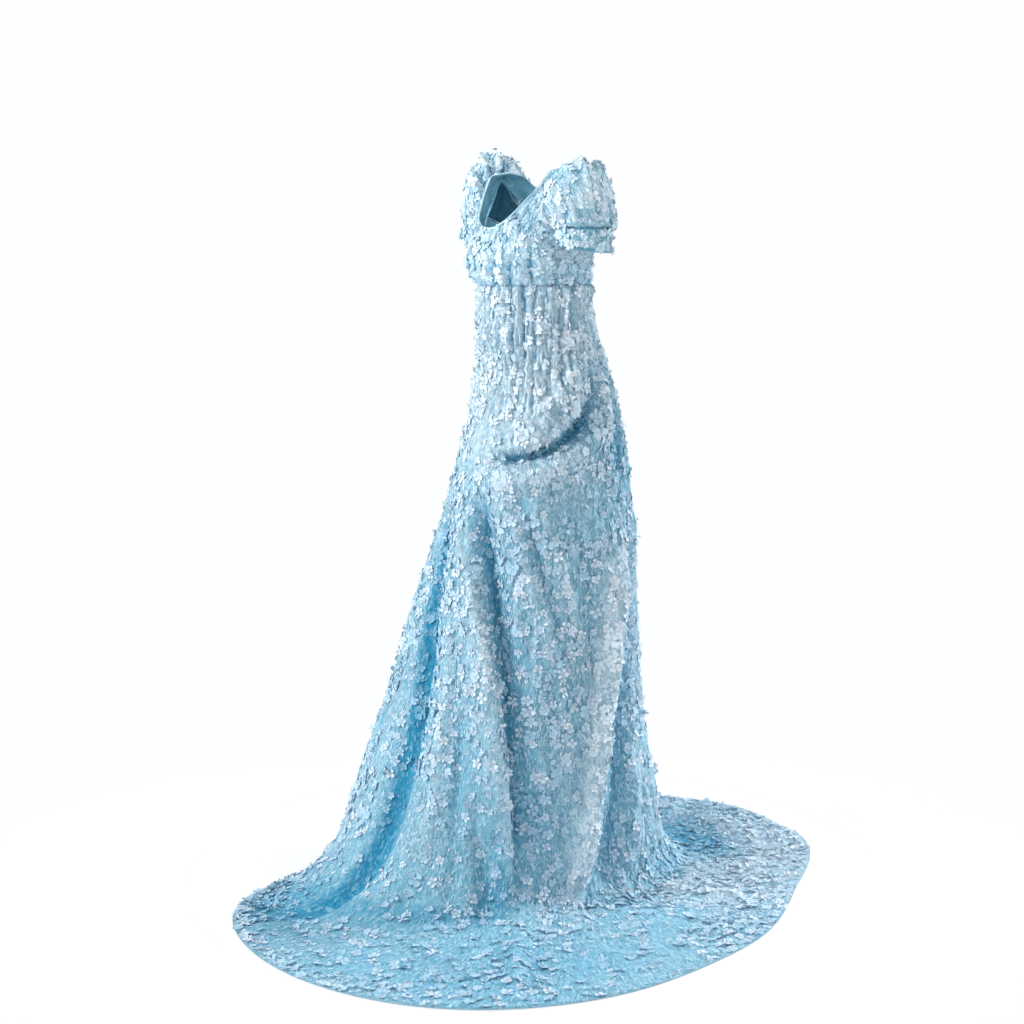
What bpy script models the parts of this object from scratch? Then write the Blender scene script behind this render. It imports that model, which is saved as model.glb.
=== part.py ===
# Regency gown: a scooped bodice with short puffed sleeves, an empire seam under the bust, and a long
# flared skirt that one hand draws up at the front left and that spreads in a circle on the floor.
# It is worn and hollow: every piece is a thin wall, open at the neck, the cuffs and the hem.
# Metres, +Z up. The front faces -Y and the wearer's left is towards +X. The origin is midway between
# the shoulder seams, and heights in the tables are above the floor.
import math
from collections import namedtuple

import bpy
import numpy as np

# Driving sizes
SHOULDER_HEIGHT = 1.490     # floor to the shoulder seams, where the gown hangs
SEAM_HEIGHT = 1.258         # floor to the empire seam
WALL = 0.002                # flowered cloth
CUFF_WALL = 0.0025          # cloth and facing of a cuff
SEAM_GAP = 0.0003           # between two pieces that are sewn together
FLOOR_CLEARANCE = 0.0004    # underside of the hem above the floor
INSIDE_TOLERANCE = 0.0010   # how far the plain inside may stray from the cloth between its rows
SKIRT_BLUE = (0.42, 0.66, 0.80)
BODICE_BLUE = (0.50, 0.72, 0.84)
SLEEVE_BLUE = (0.52, 0.74, 0.85)
CUFF_BLUE = (0.44, 0.68, 0.80)
ROUGHNESS = 0.75

# Applique flowers raised in the outer walls
FLOWER_RISE = 0.006         # how far a flower stands out
FLOWER_SPREAD = 0.002       # how much that varies from flower to flower
FLOWER_SHARE = 0.42         # of the points with no raised neighbour
FLOWER_STEEPNESS = 0.6      # most that a flower rises over the distance to the next point
FLOWER_ROOM = 0.006         # least distance to the next point

# Gathers, as waves around an edge
FRONT_GATHERS = 15
BACK_GATHERS = 6            # on each back piece of the skirt
COLUMNS_A_GATHER = 3
SKIRT_GATHER_RISE = 0.006
SKIRT_GATHER_REACH = 0.30   # length down the skirt in which the gathers fade
BUST_GATHER_RISE = 0.004
BUST_GATHER_REACH = 0.030
SLEEVE_GATHERS = 9
SLEEVE_GATHER_RISE = 0.005
SLEEVE_GATHER_START = 0.15  # share of the way down the sleeve where its upper gathers begin
SLEEVE_GATHER_RAMP = 0.20   # share over which they come up

# Rows of the skirt's grid, closer where the swag crosses it: length of cloth and rows in it.
Band = namedtuple("Band", "end_drop rows")
SKIRT_BANDS = [Band(0.22, 7), Band(0.42, 10), Band(1.16, 13), Band(1.38, 6)]
HEM_ROWS = 3

# The skirt's level rings: height above the floor, then the radius in each direction.
Ring = namedtuple("Ring", "height front front_left left back_left back back_right right front_right")
SKIRT_RINGS = [
    Ring(1.258, 0.112, 0.120, 0.122, 0.112, 0.100, 0.112, 0.122, 0.120),
    Ring(1.180, 0.114, 0.122, 0.127, 0.119, 0.110, 0.119, 0.127, 0.121),
    Ring(1.100, 0.117, 0.128, 0.138, 0.138, 0.134, 0.133, 0.135, 0.123),
    Ring(1.020, 0.130, 0.146, 0.157, 0.165, 0.161, 0.155, 0.150, 0.133),
    Ring(0.940, 0.153, 0.182, 0.175, 0.182, 0.180, 0.170, 0.162, 0.152),
    Ring(0.860, 0.174, 0.196, 0.185, 0.192, 0.193, 0.181, 0.174, 0.172),
    Ring(0.740, 0.206, 0.208, 0.192, 0.199, 0.200, 0.190, 0.188, 0.202),
    Ring(0.600, 0.248, 0.232, 0.200, 0.204, 0.202, 0.198, 0.205, 0.240),
    Ring(0.450, 0.288, 0.258, 0.211, 0.212, 0.211, 0.206, 0.225, 0.280),
    Ring(0.300, 0.340, 0.284, 0.224, 0.226, 0.228, 0.219, 0.250, 0.325),
    Ring(0.180, 0.385, 0.305, 0.235, 0.248, 0.254, 0.234, 0.275, 0.355),
    Ring(0.090, 0.432, 0.326, 0.246, 0.266, 0.276, 0.250, 0.300, 0.380),
    Ring(0.034, 0.505, 0.352, 0.262, 0.284, 0.306, 0.268, 0.330, 0.408),
    Ring(0.010, 0.575, 0.395, 0.292, 0.308, 0.348, 0.296, 0.366, 0.424),
    Ring(0.005, 0.620, 0.520, 0.400, 0.380, 0.450, 0.375, 0.420, 0.440),
    Ring(0.004, 0.658, 0.650, 0.530, 0.470, 0.550, 0.462, 0.480, 0.464),
    Ring(0.003, 0.690, 0.760, 0.650, 0.560, 0.656, 0.550, 0.535, 0.492),
]

# Where the spread hem runs further out on the floor than its rings, or less far: around an angle, over
# a spread of degrees, by a length at the hem.
Reach = namedtuple("Reach", "angle spread length")
REACH_START = 1.10          # drop where the hem begins to reach out
REACHES = [Reach(-25, 14, -0.085), Reach(95, 14, -0.016), Reach(180, 9, -0.022)]

# The skirt's large folds. Each runs from its start past its middle to its end, at an angle around the
# wearer (0 front, 90 left) and a length of cloth below the empire seam. It rises by depth, or sinks
# where that is negative, over the width on its front side and the width on its back side.
Fold = namedtuple(
    "Fold",
    "start_angle start_drop middle_angle middle_drop end_angle end_drop front_width back_width depth",
)
FOLD_STEPS = 16             # straight steps that stand for a fold's bent path
FOLD_COMES_UP = 0.25        # share of its length over which a fold comes up
FOLD_DIES_OUT = 0.20        # share over which it dies out
FOLD_FREE_DROP = 0.06       # the empire seam holds the cloth flat above this drop
SKIRT_FOLDS = [
    # the swag that the hand draws up, from the back of the hip round to the front left
    Fold(100, 0.13, 86, 0.235, 38, 0.290, 0.030, 0.030, 0.014),
    Fold(113, 0.13, 109, 0.235, 82, 0.312, 0.024, 0.022, -0.020),
    Fold(100, 0.272, 67, 0.337, 26, 0.352, 0.024, 0.022, -0.021),
    Fold(122, 0.14, 121, 0.250, 90, 0.338, 0.020, 0.024, 0.011),
    Fold(112, 0.292, 77, 0.364, 30, 0.400, 0.022, 0.022, 0.012),
    # folds that fan out below the hand, down to the floor
    Fold(-42, 0.38, -30, 0.900, -14, 1.400, 0.040, 0.050, 0.012),
    Fold(-22, 0.40, 7, 0.880, 0, 1.420, 0.036, 0.030, -0.034),
    Fold(4, 0.37, 37, 0.740, 47, 1.160, 0.036, 0.020, 0.017),
    Fold(18, 0.39, 46, 0.756, 60, 1.270, 0.018, 0.045, -0.028),
    Fold(40, 1.08, 43, 1.180, 45, 1.290, 0.018, 0.020, -0.012),
    # the side panel that ends in one steep edge, and the close folds behind it
    Fold(124, 0.44, 108, 0.890, 78, 1.290, 0.060, 0.030, 0.022),
    Fold(134, 0.60, 115, 0.950, 89, 1.310, 0.030, 0.034, -0.024),
    Fold(134, 0.62, 126, 0.980, 108, 1.270, 0.018, 0.018, 0.012),
    Fold(143, 0.36, 138, 0.860, 122, 1.280, 0.018, 0.020, -0.014),
    Fold(152, 0.30, 152, 0.800, 140, 1.270, 0.022, 0.022, 0.012),
    # back and right, where the skirt hangs by itself
    Fold(166, 0.34, 166, 0.760, 160, 1.300, 0.024, 0.028, -0.020),
    Fold(182, 0.26, 181, 0.820, 176, 1.320, 0.030, 0.026, 0.016),
    Fold(198, 0.30, 197, 0.700, 202, 1.290, 0.028, 0.024, -0.022),
    Fold(214, 0.38, 216, 0.860, 220, 1.330, 0.028, 0.032, 0.018),
    Fold(233, 0.28, 234, 0.780, 240, 1.280, 0.030, 0.026, -0.024),
    Fold(252, 0.40, 254, 0.900, 262, 1.340, 0.034, 0.028, 0.019),
    Fold(272, 0.32, 276, 0.820, 284, 1.310, 0.032, 0.036, -0.026),
    Fold(292, 0.36, 298, 0.860, 303, 1.330, 0.036, 0.030, 0.018),
    Fold(308, 0.42, 316, 0.920, 326, 1.350, 0.030, 0.034, -0.026),
    # low ridges where the spread hem lies on the floor
    Fold(54, 1.24, 57, 1.360, 58, 1.530, 0.020, 0.020, 0.012),
    Fold(226, 1.28, 202, 1.400, 172, 1.450, 0.030, 0.030, 0.016),
    Fold(98, 1.32, 101, 1.420, 108, 1.520, 0.030, 0.026, 0.006),
    Fold(22, 1.33, 24, 1.430, 21, 1.530, 0.030, 0.034, 0.006),
    Fold(282, 1.34, 286, 1.430, 284, 1.530, 0.030, 0.030, 0.008),
]

# The torso's level rings under the bodice, the same on the left and the right.
Section = namedtuple("Section", "height front front_side side back_side back")
TORSO_SECTIONS = [
    Section(1.258, 0.112, 0.120, 0.122, 0.112, 0.100),
    Section(1.280, 0.124, 0.134, 0.125, 0.113, 0.100),
    Section(1.306, 0.132, 0.146, 0.129, 0.116, 0.101),
    Section(1.335, 0.124, 0.141, 0.132, 0.120, 0.104),
    Section(1.372, 0.108, 0.131, 0.136, 0.124, 0.107),
    Section(1.410, 0.094, 0.122, 0.143, 0.124, 0.105),
    Section(1.450, 0.080, 0.108, 0.153, 0.115, 0.096),
    Section(1.478, 0.070, 0.098, 0.152, 0.104, 0.086),
    Section(1.486, 0.065, 0.090, 0.136, 0.096, 0.080),
    Section(1.490, 0.060, 0.084, 0.116, 0.088, 0.075),
]

# Columns of the bodice from its centre to its side seam: where each crosses the empire seam, the bust
# and the chest, and where it ends on the neck, the shoulder seam or the armhole.
Station = namedtuple(
    "Station", "seam_angle bust_angle bust_height chest_angle chest_height top_angle top_height"
)
FRONT_STATIONS = [
    Station(0, 0, 1.300, 0, 1.340, 0, 1.372),            # centre front
    Station(10, 10, 1.300, 10, 1.341, 11, 1.374),
    Station(19, 19, 1.300, 20, 1.345, 22, 1.380),
    Station(28, 28, 1.301, 29, 1.352, 34, 1.393),
    Station(36, 36, 1.303, 38, 1.362, 47, 1.418),
    Station(43, 42, 1.304, 46, 1.374, 64, 1.456),        # neck beside the sleeve
    Station(49, 47, 1.305, 51, 1.384, 90, 1.490),        # shoulder seam, at the neck
    Station(54, 51, 1.305, 54, 1.387, 90, 1.486),
    Station(59, 55, 1.304, 56.5, 1.388, 90, 1.478),      # shoulder seam, at the armhole
    Station(64, 59, 1.302, 57.4, 1.382, 78, 1.435),
    Station(69, 63, 1.300, 58.2, 1.374, 68, 1.405),
    Station(74, 68, 1.296, 59.6, 1.362, 64, 1.378),        # foremost point of the armhole
    Station(80, 76, 1.290, 67, 1.336, 68.5, 1.354),
    Station(90, 90, 1.282, 90, 1.310, 90, 1.335),        # side seam, up to the underarm
]
BACK_STATIONS = [
    Station(180, 180, 1.300, 180, 1.360, 180, 1.415),    # centre back
    Station(170, 170, 1.300, 170, 1.360, 169, 1.416),
    Station(161, 161, 1.300, 160, 1.362, 158, 1.420),
    Station(152, 152, 1.301, 151, 1.366, 146, 1.428),
    Station(144, 144, 1.303, 142, 1.372, 133, 1.441),
    Station(137, 138, 1.304, 134, 1.378, 116, 1.465),    # neck beside the sleeve
    Station(131, 133, 1.305, 129, 1.384, 90, 1.490),     # shoulder seam, at the neck
    Station(126, 129, 1.305, 126, 1.387, 90, 1.486),
    Station(121, 125, 1.304, 123.5, 1.388, 90, 1.478),   # shoulder seam, at the armhole
    Station(116, 121, 1.302, 122.6, 1.382, 102, 1.435),
    Station(111, 117, 1.300, 121.8, 1.374, 112, 1.405),
    Station(106, 112, 1.296, 120.4, 1.362, 116, 1.378),    # rearmost point of the armhole
    Station(100, 104, 1.290, 113, 1.336, 111.5, 1.354),
    Station(90, 90, 1.282, 90, 1.310, 90, 1.335),        # side seam, up to the underarm
]
FIRST_ARMHOLE_STATION = 8
NORMAL_STEP = 0.001         # height either side of a point whose normal is worked out
NORMAL_TURN = 0.5           # degrees either side of it
CHEST_SHARE = 0.38          # of the way down a column from its top edge to the empire seam
BUST_SHARE = 0.72

# Rings of a sleeve from the armhole to the cuff. share is how far a ring has turned from the armhole's
# own outline into an ellipse, turn is its lean from facing out to facing down, and forward is the swing
# of that towards the front. A ring of share 0 keeps the outline, moved out by out and grown by grow.
SleeveRing = namedtuple("SleeveRing", "share out grow x y height turn forward depth_radius height_radius")
LEFT_SLEEVE = [
    SleeveRing(0.0, -0.001, -0.0070, 0, 0, 0, 0, 0, 0, 0),
    SleeveRing(0.0, 0.007, -0.0060, 0, 0, 0, 0, 0, 0, 0),
    SleeveRing(0.6, 0.014, 0.000, 0.1548, -0.002, 1.4235, 16, 0, 0.0690, 0.0745),
    SleeveRing(1.0, 0, 0, 0.1680, -0.006, 1.4290, 25, 0, 0.0710, 0.0760),
    SleeveRing(1.0, 0, 0, 0.1820, -0.010, 1.4225, 38, 0, 0.0700, 0.0710),
    SleeveRing(1.0, 0, 0, 0.1913, -0.009, 1.4080, 55, 0, 0.0695, 0.0630),
    SleeveRing(1.0, 0, 0, 0.1945, -0.005, 1.3913, 73, 0, 0.0660, 0.0560),
    SleeveRing(1.0, 0, 0, 0.1945, -0.001, 1.3793, 85, 0, 0.0600, 0.0522),
    SleeveRing(1.0, 0, 0, 0.1940, 0.001, 1.3705, 90, 0, 0.0550, 0.0500),
]
RIGHT_SLEEVE = [
    SleeveRing(0.0, -0.001, -0.0070, 0, 0, 0, 0, 0, 0, 0),
    SleeveRing(0.0, 0.007, -0.0060, 0, 0, 0, 0, 0, 0, 0),
    SleeveRing(0.6, 0.014, 0.000, 0.1545, 0.002, 1.4270, 12, 4, 0.0660, 0.0819),
    SleeveRing(1.0, 0, 0, 0.1705, 0.009, 1.4390, 16, 4, 0.0680, 0.0925),
    SleeveRing(1.0, 0, 0, 0.1890, 0.012, 1.4440, 21, 4, 0.0690, 0.0950),
    SleeveRing(1.0, 0, 0, 0.2060, 0.013, 1.4330, 28, 4, 0.0690, 0.0886),
    SleeveRing(1.0, 0, 0, 0.2190, 0.012, 1.4110, 36, 4, 0.0660, 0.0767),
    SleeveRing(1.0, 0, 0, 0.2250, 0.010, 1.3910, 43, 4, 0.0605, 0.0649),
    SleeveRing(1.0, 0, 0, 0.2275, 0.007, 1.3690, 52, 4, 0.0545, 0.0502),
]
UNDERARM_OUT = 0.35         # share of a sleeve ring's out that is left at the underarm
BODICE_ROWS = 8
ARMHOLE_STEPS = 8           # between two stations, while its outline is worked out
SLEEVE_ROWS = 9
SLEEVE_COLUMNS = 27
CUFF_ROWS = [(0.0, 0.0), (0.014, 0.0), (0.028, 0.0), (0.042, 0.001)]   # along, in


def smooth_between(knots, values, x):
    """Monotone cubic through rows of values at rising knots, read at x."""
    knots = np.asarray(knots, float)
    values = np.asarray(values, float)
    x = np.clip(np.asarray(x, float), knots[0], knots[-1])
    step = np.diff(knots)[:, None]
    slope = np.diff(values, axis=0) / step
    before, after = slope[:-1], slope[1:]
    product = before * after
    total = np.where(product > 0, before + after, 1.0)
    inner = np.where(product > 0, 2.0 * product / total, 0.0)
    tangent = np.concatenate([slope[:1], inner, slope[-1:]])
    i = np.clip(np.searchsorted(knots, x, side="right") - 1, 0, len(knots) - 2)
    h = step[i, 0][..., None]
    s = ((x - knots[i]) / step[i, 0])[..., None]
    return (
        (1 + 2 * s) * (1 - s) ** 2 * values[i]
        + s * (1 - s) ** 2 * h * tangent[i]
        + s * s * (3 - 2 * s) * values[i + 1]
        + s * s * (s - 1) * h * tangent[i + 1]
    )


def around(radii, angle):
    """Closed smooth curve through radii at equal steps of angle, read at angle in degrees."""
    count = radii.shape[-1]
    place = np.asarray(angle, float) / 360.0 * count
    i = np.floor(place).astype(int)
    s = place - i
    p = [np.take_along_axis(radii, ((i + k) % count)[..., None], -1)[..., 0] for k in (-1, 0, 1, 2)]
    return 0.5 * (
        2 * p[1]
        + (p[2] - p[0]) * s
        + (2 * p[0] - 5 * p[1] + 4 * p[2] - p[3]) * s ** 2
        + (3 * p[1] - p[0] - 3 * p[2] + p[3]) * s ** 3
    )


def ease(x):
    x = np.clip(x, 0.0, 1.0)
    return x * x * (3 - 2 * x)


def polar(angle, radius, height):
    a = np.radians(angle)
    return np.stack([radius * np.sin(a), -radius * np.cos(a), height - SHOULDER_HEIGHT], -1)


def ring_drops():
    """Length of cloth from the empire seam to each of the skirt's rings, as the mean all round."""
    rings = np.array(SKIRT_RINGS)
    steps = np.hypot(np.diff(rings[:, 1:], axis=0), np.diff(rings[:, :1], axis=0)).mean(1)
    return np.concatenate([[0.0], np.cumsum(steps)])


DROPS = ring_drops()
SKIRT_LENGTH = DROPS[-1]


def skirt_base(angle, drop):
    angle, drop = np.broadcast_arrays(np.asarray(angle, float), np.asarray(drop, float))
    row = smooth_between(DROPS, SKIRT_RINGS, drop)
    radius = around(row[..., 1:], angle)
    share = ease((drop - REACH_START) / (SKIRT_LENGTH - REACH_START))
    for reach in REACHES:
        away = (angle - reach.angle + 180) % 360 - 180
        radius = radius + reach.length * share * np.exp(-(away / reach.spread) ** 2)
    return polar(angle, radius, row[..., 0]), radius


def outward(points, closed):
    """Unit normals of a grid whose rows run down and whose columns run from the front to the left."""
    if closed:
        across = np.roll(points, -1, 1) - np.roll(points, 1, 1)
    else:
        across = np.gradient(points, axis=1)
    down = np.gradient(points, axis=0)
    normal = np.cross(down, across)
    return normal / np.maximum(np.linalg.norm(normal, axis=-1, keepdims=True), 1e-12)


def fold_rise(fold, angle, drop, radius):
    """How far one fold lifts the cloth at each point."""
    steps = np.linspace(0, 1, FOLD_STEPS + 1)
    start = np.array([fold.start_angle, fold.start_drop])
    middle = np.array([fold.middle_angle, fold.middle_drop])
    end = np.array([fold.end_angle, fold.end_drop])
    bend = 2 * middle - (start + end) / 2
    t = steps[:, None]
    path = (1 - t) ** 2 * start + 2 * t * (1 - t) * bend + t ** 2 * end
    nearest = np.full(angle.shape, 1e9)
    side = np.zeros(angle.shape)
    along = np.zeros(angle.shape)
    for k in range(len(path) - 1):
        ax = np.radians((path[k, 0] - angle + 180) % 360 - 180) * radius
        bx = ax + np.radians(path[k + 1, 0] - path[k, 0]) * radius
        ay = path[k, 1] - drop
        by = path[k + 1, 1] - drop
        dx, dy = bx - ax, by - ay
        s = np.clip(-(ax * dx + ay * dy) / (dx * dx + dy * dy), 0, 1)
        away = np.hypot(ax + s * dx, ay + s * dy)
        closer = away < nearest
        nearest = np.where(closer, away, nearest)
        side = np.where(closer, ax * dy - ay * dx, side)
        along = np.where(closer, (k + s) / (len(path) - 1), along)
    width = np.where(side > 0, fold.front_width, fold.back_width)
    ends = ease(along / FOLD_COMES_UP) * ease((1 - along) / FOLD_DIES_OUT)
    return fold.depth * np.exp(-(nearest / width) ** 2) * ends


def gather_wave(angle):
    """1 on a gather's crest and 0 between two, around the empire seam."""
    a = (np.asarray(angle, float) + 180) % 360 - 180
    front = np.abs(a) <= 90
    waves = np.where(front, (a + 90) * FRONT_GATHERS / 180, (np.abs(a) - 90) * BACK_GATHERS / 90)
    return 0.5 + 0.5 * np.cos(2 * np.pi * waves)


def skirt_grid():
    """The skirt's outer points on rows down from the empire seam and columns all round it."""
    front = np.linspace(-90, 90, FRONT_GATHERS * COLUMNS_A_GATHER + 1)
    back = np.linspace(90, 270, 2 * BACK_GATHERS * COLUMNS_A_GATHER + 1)
    angles = np.concatenate([front, back[1:-1]])
    drops = [0.0]
    for band in SKIRT_BANDS + [Band(SKIRT_LENGTH, HEM_ROWS)]:
        drops += list(np.linspace(drops[-1], band.end_drop, band.rows + 1)[1:])
    angle, drop = np.meshgrid(angles, drops)
    base, radius = skirt_base(angle, drop)
    rise = sum(fold_rise(fold, angle, drop, radius) for fold in SKIRT_FOLDS)
    rise = rise * ease(drop / FOLD_FREE_DROP)
    rise = rise + SKIRT_GATHER_RISE * gather_wave(angle) * np.exp(-(drop / SKIRT_GATHER_REACH) ** 2)
    points = base + outward(base, True) * rise[..., None]
    lowest = FLOOR_CLEARANCE + WALL - SHOULDER_HEIGHT
    points[..., 2] = np.maximum(points[..., 2], lowest)
    return points


def flower_rise(points, closed):
    """Rise of the applique at each point of a grid: scattered, never side by side, none on an edge."""
    rows, columns = points.shape[:2]
    scatter = np.random.default_rng(rows * columns)
    chance = scatter.random((rows, columns))
    size = FLOWER_RISE + FLOWER_SPREAD * (2 * scatter.random((rows, columns)) - 1)
    room = np.full((rows, columns), 1.0)
    for axis in (0, 1):
        step = np.linalg.norm(np.roll(points, -1, axis) - points, axis=-1)
        room = np.minimum(room, np.minimum(step, np.roll(step, 1, axis)))
    rise = np.zeros((rows, columns))
    for i in range(1, rows - 1):
        for j in range(0 if closed else 1, columns if closed else columns - 1):
            beside = max(rise[i - 1, j], rise[i, j - 1], rise[i - 1, j - 1], rise[i - 1, (j + 1) % columns])
            if chance[i, j] < FLOWER_SHARE and beside == 0 and room[i, j] > FLOWER_ROOM:
                rise[i, j] = min(size[i, j], room[i, j] * FLOWER_STEEPNESS)
    return rise


def plain_rows(inner):
    """Rows that the plain inside needs: one between two others goes where the wall is straight there."""
    kept = [0]
    while kept[-1] < len(inner) - 1:
        i = kept[-1]
        if i + 2 < len(inner):
            share = np.linalg.norm(inner[i + 1] - inner[i], axis=-1)
            share = share / (share + np.linalg.norm(inner[i + 2] - inner[i + 1], axis=-1))
            chord = inner[i] + (inner[i + 2] - inner[i]) * share[:, None]
            straight = np.linalg.norm(inner[i + 1] - chord, axis=-1).max() < INSIDE_TOLERANCE
            kept.append(i + 2 if straight else i + 1)
        else:
            kept.append(i + 1)
    return kept


def make_wall(name, outer, inner, closed, colour):
    """One closed wall between a grid of outer points and the inner points of some of its rows."""
    rows, columns = outer.shape[:2]
    kept = plain_rows(inner)
    verts = [tuple(p) for p in outer.reshape(-1, 3)]
    verts += [tuple(p) for row in kept for p in inner[row]]
    inside = len(outer.reshape(-1, 3))
    wrap = columns if closed else columns - 1

    def out(i, j):
        return i * columns + j % columns

    def under(k, j):
        return inside + k * columns + j % columns

    faces = []
    for j in range(wrap):
        for i in range(rows - 1):
            faces.append((out(i, j), out(i + 1, j), out(i + 1, j + 1), out(i, j + 1)))
        for k in range(len(kept) - 1):
            faces.append((under(k, j), under(k, j + 1), under(k + 1, j + 1), under(k + 1, j)))
        last = len(kept) - 1
        faces.append((out(0, j), out(0, j + 1), under(0, j + 1), under(0, j)))
        faces.append((out(rows - 1, j), under(last, j), under(last, j + 1), out(rows - 1, j + 1)))
    for j, flip in () if closed else ((0, False), (columns - 1, True)):
        for k in range(len(kept) - 1):
            top, bottom = kept[k], kept[k + 1]
            turn = (top + bottom) // 2 if bottom - top > 1 else bottom
            edge = [(under(k, j), out(i + 1, j), out(i, j)) for i in range(top, turn)]
            edge.append((under(k, j), under(k + 1, j), out(turn, j)))
            edge += [(under(k + 1, j), out(i + 1, j), out(i, j)) for i in range(turn, bottom)]
            faces += [face[::-1] if flip else face for face in edge]
    mesh = bpy.data.meshes.new(name)
    mesh.from_pydata(verts, [], faces)
    mesh.validate()
    mesh.shade_smooth()
    material = bpy.data.materials.new(name)
    material.use_nodes = True
    shader = material.node_tree.nodes["Principled BSDF"]
    shader.inputs["Base Color"].default_value = (*colour, 1)
    shader.inputs["Roughness"].default_value = ROUGHNESS
    shader.inputs["Metallic"].default_value = 0.0
    mesh.materials.append(material)
    piece = bpy.data.objects.new(name, mesh)
    gown.objects.link(piece)
    return piece


def part_edges(points, along, first, last):
    """Columns first to last of a closed grid, drawn in at both edges by half a seam's gap."""
    columns = [j % points.shape[1] for j in range(first, last + 1)]
    piece = points[:, columns].copy()
    piece[:, 0] += along[:, columns[0]] * SEAM_GAP / 2
    piece[:, -1] -= along[:, columns[-1]] * SEAM_GAP / 2
    return piece


def build_skirt():
    points = skirt_grid()
    normal = outward(points, True)
    normal[0, :, 2] = 0
    normal[0] /= np.linalg.norm(normal[0], axis=-1, keepdims=True)
    inner = points - normal * WALL
    inner[..., 2] = np.maximum(inner[..., 2], FLOOR_CLEARANCE - SHOULDER_HEIGHT)
    along = np.roll(points, -1, 1) - np.roll(points, 1, 1)
    along /= np.linalg.norm(along, axis=-1, keepdims=True)
    front = FRONT_GATHERS * COLUMNS_A_GATHER
    back = BACK_GATHERS * COLUMNS_A_GATHER
    rise = flower_rise(points, True)
    rise[:, [0, front, front + back]] = 0
    flowered = points + normal * rise[..., None]
    for name, first, count in (
        ("skirt_front", 0, front),
        ("skirt_back_left", front, back),
        ("skirt_back_right", front + back, back),
    ):
        outer = part_edges(flowered, along, first, first + count)
        under = part_edges(inner, along, first, first + count)
        for grid in (outer, under):
            grid[0, :, 2] -= SEAM_GAP / 2
        make_wall(name, outer, under, False, SKIRT_BLUE)


def torso(angle, height):
    row = smooth_between([s.height for s in TORSO_SECTIONS], TORSO_SECTIONS, height)
    ring = row[..., [1, 2, 3, 4, 5, 4, 3, 2]]
    return polar(angle, around(ring, angle), height)


def torso_normal(angle, height):
    low = np.minimum(height, SHOULDER_HEIGHT - 2 * NORMAL_STEP)
    across = torso(angle + NORMAL_TURN, height) - torso(angle - NORMAL_TURN, height)
    down = torso(angle, low - NORMAL_STEP) - torso(angle, low + NORMAL_STEP)
    normal = np.cross(down, across)
    return normal / np.linalg.norm(normal, axis=-1, keepdims=True)


def bodice_grid(stations):
    """Angles and heights, on rows down from the top edge to the empire seam."""
    table = np.array(stations)
    knots = [0, CHEST_SHARE, BUST_SHARE, 1]
    angles = smooth_between(knots, table[:, [5, 3, 1, 0]].T, np.linspace(0, 1, BODICE_ROWS + 1))
    heights = np.stack([table[:, 6], table[:, 4], table[:, 2], np.full(len(table), SEAM_HEIGHT)])
    return angles, smooth_between(knots, heights, np.linspace(0, 1, BODICE_ROWS + 1))


def build_bodice_piece(name, angle, height, gathered):
    base = torso(angle, height)
    normal = torso_normal(angle, height)
    normal[-1, :, 2] = 0
    normal[-1] /= np.linalg.norm(normal[-1], axis=-1, keepdims=True)
    rise = flower_rise(base, False)
    if gathered:
        crest = (np.arange(angle.shape[1]) % 2)[None, :]
        rise += BUST_GATHER_RISE * crest * np.exp(-(height - SEAM_HEIGHT) / BUST_GATHER_REACH)
    inner = base - normal * WALL
    outer = base + normal * rise[..., None]
    for grid in (outer, inner):
        grid[-1, :, 2] += SEAM_GAP / 2
        side = np.abs(np.abs(angle) - 90) < 0.01
        grid[..., 1] += np.where(side, np.sign(np.abs(angle).mean() - 90) * SEAM_GAP / 2, 0)
        centre = np.abs(np.abs(angle) - 180) < 0.01
        grid[..., 0] += np.where(centre, np.sign(angle.mean()) * SEAM_GAP / 2, 0)
    make_wall(name, outer, inner, False, BODICE_BLUE)


def build_bodice():
    angle, height = bodice_grid(FRONT_STATIONS)
    angle = np.concatenate([-angle[:, :0:-1], angle], axis=1)
    height = np.concatenate([height[:, :0:-1], height], axis=1)
    build_bodice_piece("bodice_front", angle, height, True)
    angle, height = bodice_grid(BACK_STATIONS)
    build_bodice_piece("bodice_back_left", angle[:, ::-1], height[:, ::-1], False)
    build_bodice_piece("bodice_back_right", -angle, height, False)


def armhole_outline():
    """The left armhole's edge from the shoulder over the back and the underarm to the front."""
    last = len(FRONT_STATIONS) - 1
    back = [(s.top_angle, s.top_height) for s in BACK_STATIONS[FIRST_ARMHOLE_STATION:]]
    front = [(s.top_angle, s.top_height) for s in FRONT_STATIONS[last - 1:FIRST_ARMHOLE_STATION:-1]]
    edge = np.array(back + front, float)
    corners = torso(edge[:, 0], edge[:, 1])
    fine = []
    for k in range(len(corners)):
        p = [corners[(k + m) % len(corners)] for m in (-1, 0, 1, 2)]
        for s in np.linspace(0, 1, ARMHOLE_STEPS, endpoint=False):
            fine.append(
                0.5 * (2 * p[1] + (p[2] - p[0]) * s + (2 * p[0] - 5 * p[1] + 4 * p[2] - p[3]) * s * s
                       + (3 * p[1] - p[0] - 3 * p[2] + p[3]) * s ** 3)
            )
    fine = np.array(fine + fine[:1])
    length = np.concatenate([[0], np.cumsum(np.linalg.norm(np.diff(fine, axis=0), axis=1))])
    even = np.linspace(0, length[-1], SLEEVE_COLUMNS, endpoint=False)
    return np.stack([np.interp(even, length, fine[:, k]) for k in range(3)], -1)


def ring_axes(ring):
    """A sleeve ring's facing, and its axis towards the top or the outside of the arm."""
    turn, forward = math.radians(ring.turn), math.radians(ring.forward)
    swing = np.array([0, -math.sin(forward), -math.cos(forward)])
    out = np.array([1.0, 0, 0])
    facing = out * math.cos(turn) + swing * math.sin(turn)
    upper = out * math.sin(turn) - swing * math.cos(turn)
    return facing, upper


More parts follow.
